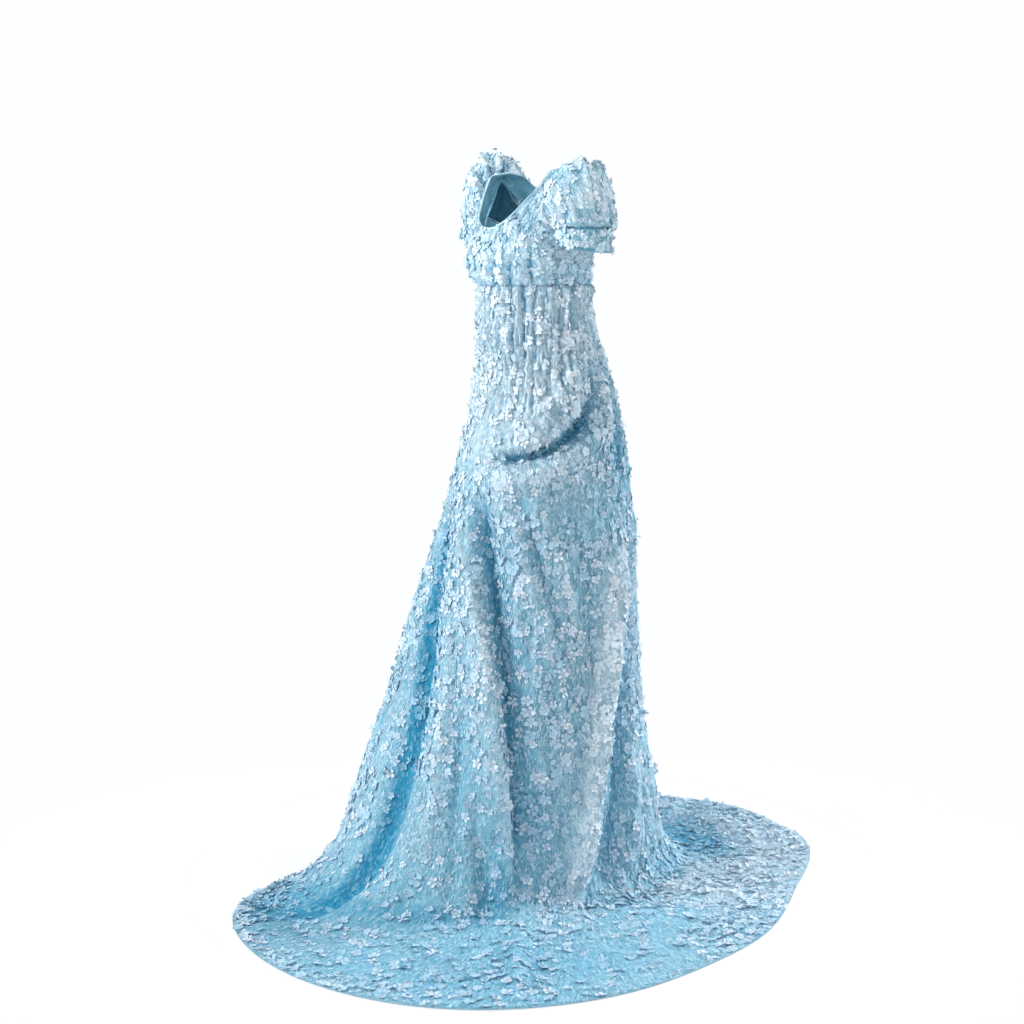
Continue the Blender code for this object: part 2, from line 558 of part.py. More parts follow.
def ring_points(ring, outline):
    facing, upper = ring_axes(ring)
    behind = np.cross(upper, facing)
    b = np.linspace(0, 2 * np.pi, SLEEVE_COLUMNS, endpoint=False)[:, None]
    centre = np.array([ring.x, ring.y, ring.height - SHOULDER_HEIGHT])
    ellipse = centre + upper * ring.height_radius * np.cos(b) + behind * ring.depth_radius * np.sin(b)
    middle = outline.mean(0)
    spoke = outline - middle
    spoke /= np.linalg.norm(spoke, axis=-1, keepdims=True)
    out = ring.out * (UNDERARM_OUT + (1 - UNDERARM_OUT) * (0.5 + 0.5 * np.cos(b)))
    edge = outline + spoke * ring.grow + out * np.array([1.0, 0, 0])
    return edge * (1 - ring.share) + ellipse * ring.share


def build_sleeve(side, rings, sign):
    """A puffed sleeve and its cuff. sign is 1 on the wearer's left and -1 on the right."""
    outline = armhole_outline()
    table = np.array([ring_points(ring, outline) for ring in rings])
    places = np.arange(len(rings))
    read = np.linspace(0, len(rings) - 1, SLEEVE_ROWS + 1)
    grid = smooth_between(places, table.reshape(len(rings), -1), read).reshape(-1, SLEEVE_COLUMNS, 3)
    facing, _ = ring_axes(rings[-1])
    normal = outward(grid, True)
    normal[-1] -= facing * (normal[-1] @ facing)[:, None]
    normal[-1] /= np.linalg.norm(normal[-1], axis=-1, keepdims=True)
    b = np.arange(SLEEVE_COLUMNS) * 2 * np.pi / SLEEVE_COLUMNS
    wave = (0.5 + 0.5 * np.cos(b * SLEEVE_GATHERS)) * (0.5 + 0.5 * np.cos(b))
    share = np.linspace(0, 1, SLEEVE_ROWS + 1)[:, None]
    upper = 2 * ease((share - SLEEVE_GATHER_START) / SLEEVE_GATHER_RAMP) * (1 - share) ** 2
    lower = share ** 6
    gathers = SLEEVE_GATHER_RISE * wave * (upper + lower)
    rise = flower_rise(grid, True)
    rise[1] = 0
    outer = grid + normal * (rise + gathers)[..., None]
    inner = grid - normal * WALL
    cuff = []
    for along, shrink in CUFF_ROWS:
        ring = rings[-1]._replace(
            depth_radius=rings[-1].depth_radius - shrink, height_radius=rings[-1].height_radius - shrink
        )
        cuff.append(ring_points(ring, outline) + facing * (SEAM_GAP + along))
    cuff = np.array(cuff)
    cuff_normal = outward(cuff, True)
    cuff_normal -= facing * (cuff_normal @ facing)[..., None]
    cuff_normal /= np.linalg.norm(cuff_normal, axis=-1, keepdims=True)
    cuff_rise = flower_rise(cuff, True)[..., None]
    mirror = np.array([sign, 1, 1])
    for name, far, near, colour in (
        ("sleeve_" + side, outer, inner, SLEEVE_BLUE),
        ("cuff_" + side, cuff + cuff_normal * cuff_rise, cuff - cuff_normal * CUFF_WALL, CUFF_BLUE),
    ):
        make_wall(name, (far * mirror)[:, ::sign], (near * mirror)[:, ::sign], True, colour)


for leftover in list(bpy.data.objects):
    bpy.data.objects.remove(leftover)
gown = bpy.data.collections.new("regency_gown")
bpy.context.scene.collection.children.link(gown)
build_skirt()
build_bodice()
build_sleeve("left", LEFT_SLEEVE, 1)
build_sleeve("right", RIGHT_SLEEVE, -1)
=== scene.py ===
# Regency gown in pale blue cloth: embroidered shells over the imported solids, with petal flowers,
# satin leaves and small pearls sewn all over it. Metres, +Z up, the front faces -Y, the wearer's
# left is +X, and the origin is level with the shoulder seams.
import math
from collections import namedtuple

import bpy
import numpy as np
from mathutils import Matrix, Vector


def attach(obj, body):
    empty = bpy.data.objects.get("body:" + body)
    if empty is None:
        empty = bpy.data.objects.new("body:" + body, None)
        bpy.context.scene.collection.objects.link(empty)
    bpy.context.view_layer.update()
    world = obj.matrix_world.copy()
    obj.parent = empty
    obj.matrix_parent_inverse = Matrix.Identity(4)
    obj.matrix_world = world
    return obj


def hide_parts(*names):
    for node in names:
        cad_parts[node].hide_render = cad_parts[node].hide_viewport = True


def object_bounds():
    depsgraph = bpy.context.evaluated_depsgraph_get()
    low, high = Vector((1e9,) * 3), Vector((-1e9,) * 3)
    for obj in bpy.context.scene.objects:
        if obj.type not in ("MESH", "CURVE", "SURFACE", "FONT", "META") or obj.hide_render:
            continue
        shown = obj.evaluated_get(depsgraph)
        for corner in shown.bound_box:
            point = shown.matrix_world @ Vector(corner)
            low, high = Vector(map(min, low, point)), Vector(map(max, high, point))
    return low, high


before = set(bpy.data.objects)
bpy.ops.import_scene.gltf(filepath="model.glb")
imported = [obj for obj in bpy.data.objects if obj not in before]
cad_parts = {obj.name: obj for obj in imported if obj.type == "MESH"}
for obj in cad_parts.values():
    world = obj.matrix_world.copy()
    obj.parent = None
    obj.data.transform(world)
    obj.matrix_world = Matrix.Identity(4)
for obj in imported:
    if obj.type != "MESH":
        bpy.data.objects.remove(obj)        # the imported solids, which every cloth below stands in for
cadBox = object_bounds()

print("frame loaded:", len(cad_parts), "nodes")

gown = {
    "shoulderHeight": -cadBox[0].z,     # floor to the shoulder seams
    "seamDrop": 0.232,                  # from there to the empire seam
    "clothThick": 0.0012,
    "seamGap": 0.0004,                  # between two panels
    "floorGap": 0.0012,                 # the lowest cloth above the floor
    "liningGap": 0.00048,               # its inside
    "flowerGap": 0.0006,                # and its flowers
    "frontGathers": 15,
    "backGathers": 6,                   # on each back panel
}
seamHeight = gown["shoulderHeight"] - gown["seamDrop"]


class Wire:  # one node output, so that maths on it reads as a plain expression

    def __init__(self, tree, socket=None):
        self.tree = tree
        self.socket = socket

    def node(self, kind, settings=None, sockets=None, out=0):
        made = self.tree.nodes.new("ShaderNode" + kind)
        for name, value in (settings or {}).items():
            setattr(made, name, value)
        for name, value in (sockets or {}).items():
            if isinstance(value, Wire):
                self.tree.links.new(value.socket, made.inputs[name])
            else:
                made.inputs[name].default_value = value
        return Wire(self.tree, made.outputs[out])

    def maths(self, operation, *values):
        return self.node("Math", {"operation": operation}, dict(enumerate(values)))

    def __add__(self, other):
        return self.maths("ADD", self, other)

    def __radd__(self, other):
        return self.maths("ADD", other, self)

    def __sub__(self, other):
        return self.maths("SUBTRACT", self, other)

    def __rsub__(self, other):
        return self.maths("SUBTRACT", other, self)

    def __mul__(self, other):
        return self.maths("MULTIPLY", self, other)

    __rmul__ = __mul__

    def most(self, other):
        return self.maths("MAXIMUM", self, other)

    def place(self):  # metres in the gown's own frame
        return self.node("TexCoord", out=3)

    def laid(self):  # metres across and down the cloth laid flat
        return self.node("TexCoord", out=2)

    def painted(self, name, out=2):  # a value or vector given to each point of a piece
        return self.node("Attribute", {"attribute_name": name}, out=out)

    def part(self, k):
        return self.node("SeparateXYZ", None, {"Vector": self}, out=k)

    def between(self, low, high):  # eases from 0 at low to 1 at high
        limits = {"Value": self, "From Min": low, "From Max": high}
        return self.node("MapRange", {"interpolation_type": "SMOOTHSTEP"}, limits)

    def blend(self, first, second):  # two colours, self as the share of the second
        colours = {6: first, 7: second}
        for key, value in colours.items():
            colours[key] = value if isinstance(value, Wire) else (*value, 1)
        return self.node("Mix", {"data_type": "RGBA"}, {0: self, **colours}, out=2)

    def stretched(self, *scale):
        return self.node("Mapping", {"vector_type": "POINT"}, {"Vector": self, "Scale": scale})

    def noise(self, scale, detail=2.0, rough=0.5, out=0):
        values = {"Vector": self, "Scale": scale, "Detail": detail, "Roughness": rough}
        return self.node("TexNoise", None, values, out)

    def warped(self, scale, amount):
        centred = self.vector("SUBTRACT", {0: self.noise(scale, out=1), 1: (0.5, 0.5, 0.5)})
        return self.vector("ADD", {0: self, 1: self.vector("SCALE", {0: centred, "Scale": amount})})

    def vector(self, operation, sockets, out=0):
        return self.node("VectorMath", {"operation": operation}, sockets, out)

    def edges(self, scale):  # distance to the borders of scattered cells, in cells
        values = {"Vector": self, "Scale": scale}
        return self.node("TexVoronoi", {"feature": "DISTANCE_TO_EDGE"}, values)

    def weave(self, scale, *directions):  # fine parallel threads
        first, *others = [
            self.node(
                "TexWave", {"wave_type": "BANDS", "bands_direction": direction},
                {"Vector": self, "Scale": scale}, out=1,
            )
            for direction in directions
        ]
        return first.most(others[0]) if others else first

    def bump(self, strength, distance):
        return self.node("Bump", None, {"Height": self, "Strength": strength, "Distance": distance})


def newMaterial(name, constants, recipe, *looks):  # the recipe gives the wires of what varies
    material = bpy.data.materials.new(name)
    material.use_nodes = True
    tree = material.node_tree
    shader = tree.nodes["Principled BSDF"]
    for socket, value in constants.items():
        shader.inputs[socket].default_value = value
    for socket, wire in recipe(Wire(tree), *looks).items():
        tree.links.new(wire.socket, shader.inputs[socket])
    return material


def addObject(name, data, place=(0, 0, 0), turn=(0, 0, 0)):
    made = bpy.data.objects.new(name, data)
    made.location = place
    made.rotation_euler = turn
    bpy.context.scene.collection.objects.link(made)
    return made


camera = {
    "place": (3.243, -1.781, -0.17), "tilt": 81.7, "turn": 62.0,    # degrees
    "lens": 62.19, "sensor": 36.0,
}

lights = [
    # name, place, target, size, power, degrees the beam spreads, colour
    ("keyLight", (-0.5, -3.6, 1.3), (0, 0, -0.5), 2.0, 138, 180, (1, 1, 1)),
    ("fillLight", (3.6, -1.6, 1.6), (0, 0, -0.8), 2.4, 3, 180, (0.95, 0.98, 1)),
    ("backLight", (0.6, 3.5, 0.5), (0.3, 0.15, -1.45), 1.4, 8.5, 38, (0.99, 0.995, 1)),
    ("topLight", (0, 0.5, 3), (0, 0.2, -1), 1.8, 42, 180, (1, 1, 1)),
]

studio = {
    "floorSize": 16.0,
    "floorPaint": {"Base Color": (0.96, 0.96, 0.96, 1), "Roughness": 0.9},
    "floorFade": (0.8, 2.1),            # distances over which the floor gives way to the surround
    "horizon": (0.985, 0.992, 1.0),
    "zenith": (0.34, 0.35, 0.36),
    "zenithStart": (0.20, 0.55),        # heights on a unit sky where the surround turns dimmer
}


def addCamera():
    data = bpy.data.cameras.new("camera")
    data.lens = camera["lens"]
    data.sensor_width = camera["sensor"]
    turn = (math.radians(camera["tilt"]), 0, math.radians(camera["turn"]))
    bpy.context.scene.camera = addObject("camera", data, camera["place"], turn)


def addLights():
    for name, place, target, size, power, spread, colour in lights:
        data = bpy.data.lights.new(name, "AREA")
        data.shape = "DISK"
        data.size = size
        data.energy = power
        data.spread = math.radians(spread)
        data.color = colour
        aim = Vector(target) - Vector(place)
        addObject(name, data, place, aim.to_track_quat("-Z", "Y").to_euler())
    world = bpy.data.worlds.new("studioWorld")
    world.use_nodes = True
    tree = world.node_tree
    height = Wire(tree).node("TexCoord").part(2)
    tone = height.between(*studio["zenithStart"]).blend(studio["horizon"], studio["zenith"])
    tree.links.new(tone.socket, tree.nodes["Background"].inputs["Color"])
    bpy.context.scene.world = world
    bpy.context.scene.view_settings.view_transform = "Standard"  # keeps pale blues clean


def floorRecipe(start):
    away = start.vector("LENGTH", {0: start.place()}, out=1)
    return {"Alpha": 1 - away.between(*studio["floorFade"])}


def addFloor():
    half, low = studio["floorSize"] / 2, -gown["shoulderHeight"]
    mesh = bpy.data.meshes.new("floor")
    corners = [(-half, -half, low), (half, -half, low), (half, half, low), (-half, half, low)]
    mesh.from_pydata(corners, [], [(0, 1, 2, 3)])
    mesh.materials.append(newMaterial("floorPaint", studio["floorPaint"], floorRecipe))
    addObject("floor", mesh)


addCamera()
addLights()
addFloor()
print("camera, lights and floor are in place")


skirtLook = {
    "ground": (0.19, 0.46, 0.62),       # blue cloth between the embroidery
    "pale": (0.54, 0.75, 0.85),         # embroidery, pale threads on the crinkles, and part of the painted highlight on crests
    "drift": (0.26, 0.62, 0.82),        # wide patches of another blue
    "dark": (0.062, 0.305, 0.46),       # painted shade between two crinkles
    "deep": (0.0, 0.28, 0.49),          # painted shade: cloth at the bottom of a deep fold, at seams and where folds meet the floor
    "crest": (0.78, 0.92, 1.0),         # painted highlight on a gather's or fold's crest
    "cells": 46.0,                      # outlines of the embroidery, about 22 mm across
    "crinkles": (520.0, 70.0),          # across and down the fall of the cloth
    "threads": 0.80,                    # how pale the threads on the crinkles are
    "weave": 420.0,
}

clothLooks = {
    "skirtCloth": skirtLook,
    # bodice and sleeves: a paler ground than the skirt's, partly their own tone, partly painted light
    # for the brightly lit upper gown
    "bodiceCloth": {
        **skirtLook, "ground": (0.39, 0.67, 0.80), "dark": (0.15, 0.43, 0.60),
        "crinkles": (300.0, 130.0), "threads": 0.70,
    },
    "sleeveCloth": {
        **skirtLook, "ground": (0.43, 0.71, 0.83), "dark": (0.16, 0.45, 0.62),
        "crinkles": (260.0, 150.0), "threads": 0.70,
    },
    "cuffCloth": {
        **skirtLook, "ground": (0.25, 0.54, 0.70), "crinkles": (300.0, 140.0), "threads": 0.70,
    },
}

liningLook = {
    "ground": (0.20, 0.50, 0.64), "through": (0.38, 0.64, 0.76), "shade": (0.16, 0.43, 0.58),
    "cells": 58.0, "weave": 420.0,
}

petalLooks = {
    "petalCloth": {                     # on the skirt
        "root": (0.24, 0.50, 0.68), "tip": (0.50, 0.68, 0.82), "white": (0.72, 0.80, 0.89),
        "blue": (0.29, 0.55, 0.71), "deep": (0.05, 0.36, 0.56), "crest": (0.86, 0.93, 0.98),
    },
    "palePetalCloth": {                 # on the bodice, sleeves and cuffs; paler, partly as painted light for the brightly lit upper gown
        "root": (0.34, 0.60, 0.76), "tip": (0.56, 0.76, 0.87), "white": (0.70, 0.82, 0.90),
        "blue": (0.43, 0.68, 0.82), "deep": (0.12, 0.42, 0.60), "crest": (0.86, 0.93, 0.98),
    },
}

threadLook = {"dark": (0.34, 0.60, 0.78), "light": (0.68, 0.82, 0.92), "deep": (0.05, 0.36, 0.56)}
pearlLook = {"pale": (0.80, 0.84, 0.86), "blue": (0.66, 0.77, 0.83)}
neckLook = {"light": (0.58, 0.80, 0.90), "dark": (0.42, 0.69, 0.83)}
# the hem cord's darker blue: partly its own, partly painted shade along the hem where it meets the
# floor
hemLook = {"light": (0.24, 0.46, 0.58), "dark": (0.16, 0.35, 0.48)}


def outlines(place, cells, low, high):  # crooked lines between scattered cells
    return 1 - place.warped(30, 0.028).edges(cells).between(low, high)


def clothRecipe(start, look):
    place, laid, trough = start.place(), start.laid(), start.painted("trough")
    # the fall attribute's third value is the painted highlight on crests
    hang = start.painted("fall", 1)
    crest, fall = hang.part(2), hang.stretched(1, 1, 0)
    outline = outlines(place, look["cells"], 0.012, 0.065)
    blotch = place.warped(60, 0.012).noise(95, 3, 0.6).between(0.53, 0.60)
    crinkle = fall.warped(24, 0.010).stretched(*look["crinkles"], 1).noise(1, 3, 0.65)
    light = crinkle.between(0.53, 0.63)
    dark = 1 - crinkle.between(0.36, 0.47)
    sewn = (outline * 0.70).most(blotch * 0.55).most(light * look["threads"])
    tone = sewn.blend(look["ground"], look["pale"])
    tone = (place.noise(7, 3).between(0.35, 0.65) * 0.40).blend(tone, look["drift"])
    # painted highlight: crests turn paler, most where embroidered
    tone = (crest * 0.60).blend(tone, look["pale"])
    # painted shade between crinkles, less on the painted highlights
    tone = (dark * 0.70 * (1 - crest * 0.8)).blend(tone, look["dark"])
    tone = (crest * (0.20 + sewn * 0.95)).blend(tone, look["crest"])
    # painted shade from the trough attribute: deep blue in folds, creases, seams and hollows; on the
    # sleeve's strip by the armhole it is the strip's own deeper blue
    tone = (trough * (1.0 - light * 0.45 - blotch * 0.20)).blend(tone, look["deep"])
    weave = laid.weave(look["weave"], "X", "Y")
    relief = 0.9 * sewn - 0.6 * dark + 0.10 * weave + 0.35 * place.noise(340)
    return {"Base Color": tone, "Roughness": 0.60 - sewn * 0.20, "Normal": relief.bump(0.9, 0.0016)}


def liningRecipe(start, look):
    place, weave = start.place(), start.laid().weave(look["weave"], "X", "Y")
    through = outlines(place, look["cells"], 0.02, 0.12)
    tone = (through * 0.35).blend(look["ground"], look["through"])
    tone = (place.noise(14, 3).between(0.3, 0.7) * 0.6).blend(tone, look["shade"])
    return {"Base Color": tone, "Roughness": 0.82 - weave * 0.08, "Normal": weave.bump(0.4, 0.0004)}


def petalRecipe(start, look):
    place, laid, trough = start.place(), start.laid(), start.painted("trough")
    kind, along = laid.part(0), laid.part(1)
    tone = kind.between(0.50, 0.95).blend(look["tip"], look["white"])
    tone = ((1 - kind.between(0.02, 0.40)) * 0.75).blend(tone, look["blue"])
    tone = ((1 - along.between(0.05, 0.65)) * 0.70).blend(tone, look["root"])
    # painted highlight on petals over crests; painted shade on petals in troughs
    tone = (start.painted("fall", 1).part(2) * 0.66).blend(tone, look["crest"])
    tone = (trough * 0.60).blend(tone, look["deep"])
    crumple = place.noise(520, 3, 0.6)
    rough = 0.52 + crumple * 0.2
    return {"Base Color": tone, "Roughness": rough, "Normal": crumple.bump(0.5, 0.0006)}


def threadRecipe(start, look):
    place = start.place()
    strands = place.noise(900, 1)
    tone = place.noise(60, 1).between(0.35, 0.65).blend(look["dark"], look["light"])
    # painted shade: leaves in troughs turn deep blue
    tone = (start.painted("trough") * 0.7).blend(tone, look["deep"])
    rough = 0.34 + strands * 0.2
    return {"Base Color": tone, "Roughness": rough, "Normal": strands.bump(0.5, 0.0004)}


def pearlRecipe(start, look):
    place = start.place()
    tone = place.noise(90, 1).between(0.35, 0.65).blend(look["pale"], look["blue"])
    return {"Base Color": tone, "Roughness": 0.16 + place.noise(300) * 0.12}


def edgeRecipe(start, look):
    stitch = start.laid().weave(170, "X").between(0.45, 0.75)
    tone = start.place().noise(70, 3).between(0.35, 0.65).blend(look["light"], look["dark"])
    rough = 0.48 + stitch * 0.2
    return {"Base Color": tone, "Roughness": rough, "Normal": stitch.bump(0.35, 0.0006)}


clothGloss = {"Sheen Weight": 0.08, "Sheen Roughness": 0.4, "Specular IOR Level": 0.45}
petalGloss = {"Sheen Weight": 0.12, "Specular IOR Level": 0.25}
threadGloss = {"Sheen Weight": 0.1, "Specular IOR Level": 0.6}
pearlGloss = {"Coat Roughness": 0.1, "Specular IOR Level": 0.7}

cloths = {
    name: newMaterial(name, clothGloss, clothRecipe, look) for name, look in clothLooks.items()
}
petals = {
    name: newMaterial(name, petalGloss, petalRecipe, look) for name, look in petalLooks.items()
}
lining = newMaterial("liningCloth", {"Sheen Weight": 0.1}, liningRecipe, liningLook)
thread = newMaterial("satinThread", threadGloss, threadRecipe, threadLook)
pearl = newMaterial("pearl", pearlGloss, pearlRecipe, pearlLook)
neckSatin = newMaterial("neckSatin", {"Sheen Weight": 0.2}, edgeRecipe, neckLook)
hemCord = newMaterial("hemCord", {"Sheen Weight": 0.2}, edgeRecipe, hemLook)
print("materials:", len(bpy.data.materials))


def smoothBetween(knots, values, x):  # monotone cubic through rows of values at rising knots
    knots = np.asarray(knots, float)
    values = np.asarray(values, float)
    x = np.clip(np.asarray(x, float), knots[0], knots[-1])
    step = np.diff(knots)[:, None]
    slope = np.diff(values, axis=0) / step
    before, after = slope[:-1], slope[1:]
    product = before * after
    total = np.where(product > 0, before + after, 1.0)
    inner = np.where(product > 0, 2.0 * product / total, 0.0)
    tangent = np.concatenate([slope[:1], inner, slope[-1:]])
    i = np.clip(np.searchsorted(knots, x, side="right") - 1, 0, len(knots) - 2)
    h = step[i, 0][..., None]
    s = ((x - knots[i]) / step[i, 0])[..., None]
    return (
        (1 + 2 * s) * (1 - s) ** 2 * values[i]
        + s * (1 - s) ** 2 * h * tangent[i]
        + s * s * (3 - 2 * s) * values[i + 1]
        + s * s * (s - 1) * h * tangent[i + 1]
    )


def throughFour(p, s):  # smooth curve through four values, from the second to the third
    return 0.5 * (
        2 * p[1]
        + (p[2] - p[0]) * s
        + (2 * p[0] - 5 * p[1] + 4 * p[2] - p[3]) * s ** 2
        + (3 * p[1] - p[0] - 3 * p[2] + p[3]) * s ** 3
    )


def around(radii, angle):  # closed smooth curve through radii at equal steps of angle
    count = radii.shape[-1]
    place = np.asarray(angle, float) / 360.0 * count
    i = np.floor(place).astype(int)
    columns = [((i + k) % count)[..., None] for k in (-1, 0, 1, 2)]
    near = [np.take_along_axis(radii, column, -1)[..., 0] for column in columns]
    return throughFour(near, place - i)


def share(x):  # held between 0 and 1
    return np.clip(x, 0, 1)


def ease(x):
    x = share(x)
    return x * x * (3 - 2 * x)


def bell(x, width):
    return np.exp(-(x / width) ** 2)


def unit(vectors):
    return vectors / np.maximum(np.linalg.norm(vectors, axis=-1, keepdims=True), 1e-12)


def lengths(points):  # run along a line of points, from 0
    return np.concatenate([[0], np.cumsum(np.linalg.norm(np.diff(points, axis=0), axis=-1))])


def together(*grids):
    return np.stack(np.broadcast_arrays(*grids), -1)


def polar(angle, radius, height):
    a = np.radians(angle)
    return together(radius * np.sin(a), -radius * np.cos(a), height - gown["shoulderHeight"])


def outward(points, closed):
    # unit normals of a grid whose rows run down and whose columns run from the front to the left
    if closed:
        across = np.roll(points, -1, 1) - np.roll(points, 1, 1)
    else:
        across = np.gradient(points, axis=1)
    return unit(np.cross(np.gradient(points, axis=0), across))


def lumps(shape, down, across, seed, closed=True):  # smooth random relief from -1 to 1 on a grid
    random = np.random.default_rng(seed)
    table = random.uniform(-1, 1, (down + 2, across + (0 if closed else 2)))
    y = np.linspace(0, down, shape[0])[:, None]
    x = np.linspace(0, across, shape[1], endpoint=not closed)[None, :]
    i, j = np.floor(y).astype(int), np.floor(x).astype(int)
    k, wide = j + 1, table.shape[1]
    u, v = ease(y - i), ease(x - j)
    top = table[i, j % wide] * (1 - v) + table[i, k % wide] * v
    low = table[i + 1, j % wide] * (1 - v) + table[i + 1, k % wide] * v
    return top * (1 - u) + low * u


def nearLine(ax, ay, dx, dy):  # how far along a straight line, and how far from it
    s = share(-(ax * dx + ay * dy) / (dx * dx + dy * dy))
    return s, np.hypot(ax + s * dx, ay + s * dy)


def creaseRise(creases, across, down, scale):
    # soft troughs and ridges on straight lines, all at full depth at their start
    across, down = np.broadcast_arrays(across, down)
    total = np.zeros(across.shape)
    for a0, h0, a1, h1, width, depth in creases:
        s, away = nearLine((a0 - across) * scale, h0 - down, (a1 - a0) * scale, h1 - h0)
        total = total + depth * bell(away, width) * ease(1.2 - s)
    return total


def addPiece(name, points, faces, materials, slots, laid, trough, fall=None):
    mesh = bpy.data.meshes.new(name)
    mesh.from_pydata(points.tolist(), [], faces)
    for material in materials:
        mesh.materials.append(material)
    mesh.polygons.foreach_set("material_index", np.asarray(slots, np.int32))
    mesh.shade_smooth()
    corner = np.empty(len(mesh.loops), np.int32)
    mesh.loops.foreach_get("vertex_index", corner)
    layer = mesh.uv_layers.new(name="cut")
    layer.data.foreach_set("uv", np.asarray(laid, np.float32)[corner].ravel())
    shade = mesh.attributes.new("trough", "FLOAT", "POINT")
    shade.data.foreach_set("value", np.asarray(trough, np.float32))
    if fall is not None:
        along = mesh.attributes.new("fall", "FLOAT_VECTOR", "POINT")
        along.data.foreach_set("vector", np.asarray(fall, np.float32).ravel())
    mesh.update()
    piece = addObject(name, mesh)
    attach(piece, "root")
    return piece


def quads(a, b, c, d):
    return np.stack([a.ravel(), b.ravel(), c.ravel(), d.ravel()], 1)


def addTube(name, grid, rowsClose, laid, material):
    # plain piece on a grid whose columns close on themselves, as its rows may too
    rows, columns = grid.shape[:2]
    i = np.arange(rows if rowsClose else rows - 1)[:, None]
    j = np.arange(columns)
    k, below = (j + 1) % columns, (i + 1) % rows * columns
    faces = quads(i * columns + j, i * columns + k, below + k, below + j)
    if rowsClose:
        faces = faces[:, [0, 3, 2, 1]]  # outside out
    points, faces = grid.reshape(-1, 3), faces.tolist()
    trough = np.zeros(len(points))
    return addPiece(name, points, faces, [material], [0] * len(faces), laid, trough)


def clothShell(name, grids, closed, look):
    # outer points joined round their edges to an inside of every second row
    outer = grids["points"]
    rows, columns = outer.shape[:2]
    kept = sorted({*range(0, rows, 2), rows - 1})
    inner = (outer - outward(outer, closed) * look["thick"])[kept]
    inner[..., 2] = np.maximum(inner[..., 2], gown["liningGap"] - gown["shoulderHeight"])
    base = rows * columns
    wrap = columns if closed else columns - 1
    j = np.arange(wrap)
    k = (j + 1) % columns
    i = np.arange(rows - 1)[:, None] * columns
    m = base + np.arange(len(kept) - 1)[:, None] * columns
    low, lowInner = (rows - 1) * columns, base + (len(kept) - 1) * columns
    outside = quads(i + j, i + columns + j, i + columns + k, i + k)
    inside = quads(m + j, m + k, m + columns + k, m + columns + j)
    top = quads(j, k, base + k, base + j)
    bottom = quads(low + j, lowInner + j, lowInner + k, low + k)
    faces = np.concatenate([outside, inside, top, bottom]).tolist()
    slots = [0] * len(outside) + [1] * (len(inside) + wrap) + [0] * wrap
    for column in () if closed else (0, columns - 1):
        for n in range(len(kept) - 1):
            run = [r * columns + column for r in range(kept[n], kept[n + 1] + 1)]
            edge = [base + n * columns + column, base + (n + 1) * columns + column] + run[::-1]
            faces.append(edge[::-1] if column else edge)
            slots.append(0)
    finishes = [cloths[look["cloth"]], lining]
    points = np.concatenate([outer.reshape(-1, 3), inner.reshape(-1, 3)])
    laid, trough, fall = (
        np.concatenate([grid.reshape(-1, *grid.shape[2:]), grid[kept].reshape(-1, *grid.shape[2:])])
        for grid in (grids["laid"], grids["trough"], grids["fall"])
    )
    return addPiece(name, points, faces, finishes, slots, laid, trough, fall)


def dressSolid(name, grids, closed, look, seed):
    # the cloth that stands in for one solid, and the flowers sewn on it
    cloth = clothShell(name + "_cloth", grids, closed, look)
    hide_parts(name)
    sewable = {key: grid[look["sewnRows"]] for key, grid in grids.items()}
    return cloth, sewFlowers(name + "_flowers", sewable, closed, look, seed)


flowers = {
    "kinds": {              # radius or length, how much it leans, distance from the cloth
        "small": (0.0094, 0.16, 0.0006),
        "loose": (0.0094 * 0.92, 0.55, 0.0030),
        "large": (0.0140, 0.14, 0.0012),
        "leaf": (0.0120, 0.10, 0.0004),
    },
    "spacing": 0.0204,      # between the middles of two small flowers
    "spread": 0.38,         # how much a flower's size varies
    "loose": 0.16,          # share of the small flowers that hang by their middle and stand away
    "large": 0.045,         # share of places that hold a large, flatter flower
    "leafSpacing": 0.0150,
    "leafTurn": 0.55,       # radians either side of the way the cloth falls
    "jitter": 0.42,         # of the spacing
    "edgeReach": 0.006,     # how far a petal may stand out past the edge of its panel
    "stretch": (1.4, 1.2, 1.5),  # how far bending may draw a point out: at first, then, at last
    "beadSides": 5,
    "beadRadius": 0.15,     # of the flower's
    "beadHeight": (0.06, 0.26),
    "seed": 11,
}

petalVaries = {
    "turn": 0.14, "lean": 0.12, "wide": (0.85, 1.15), "long": (0.85, 1.12), "lift": (0.2, 1.1),
}
leafVaries = {"bend": 0.12, "wide": (0.11, 0.20)}

smallPetal = [(0.46, 0.33, 0.12), (0.84, 0.31, 0.26)]   # along, half width, lift
largePetal = [(0.30, 0.24, 0.08), (0.60, 0.42, 0.16), (0.86, 0.36, 0.22)]
smallCounts = (5, 5, 5, 4, 5, 4, 5, 5, 5, 4)            # petals of each flower that is copied
largeCounts = (4, 5, 4, 4, 5)
leafCount = 5


def turned(x, y, turn):
    return x * math.cos(turn) - y * math.sin(turn), x * math.sin(turn) + y * math.cos(turn)


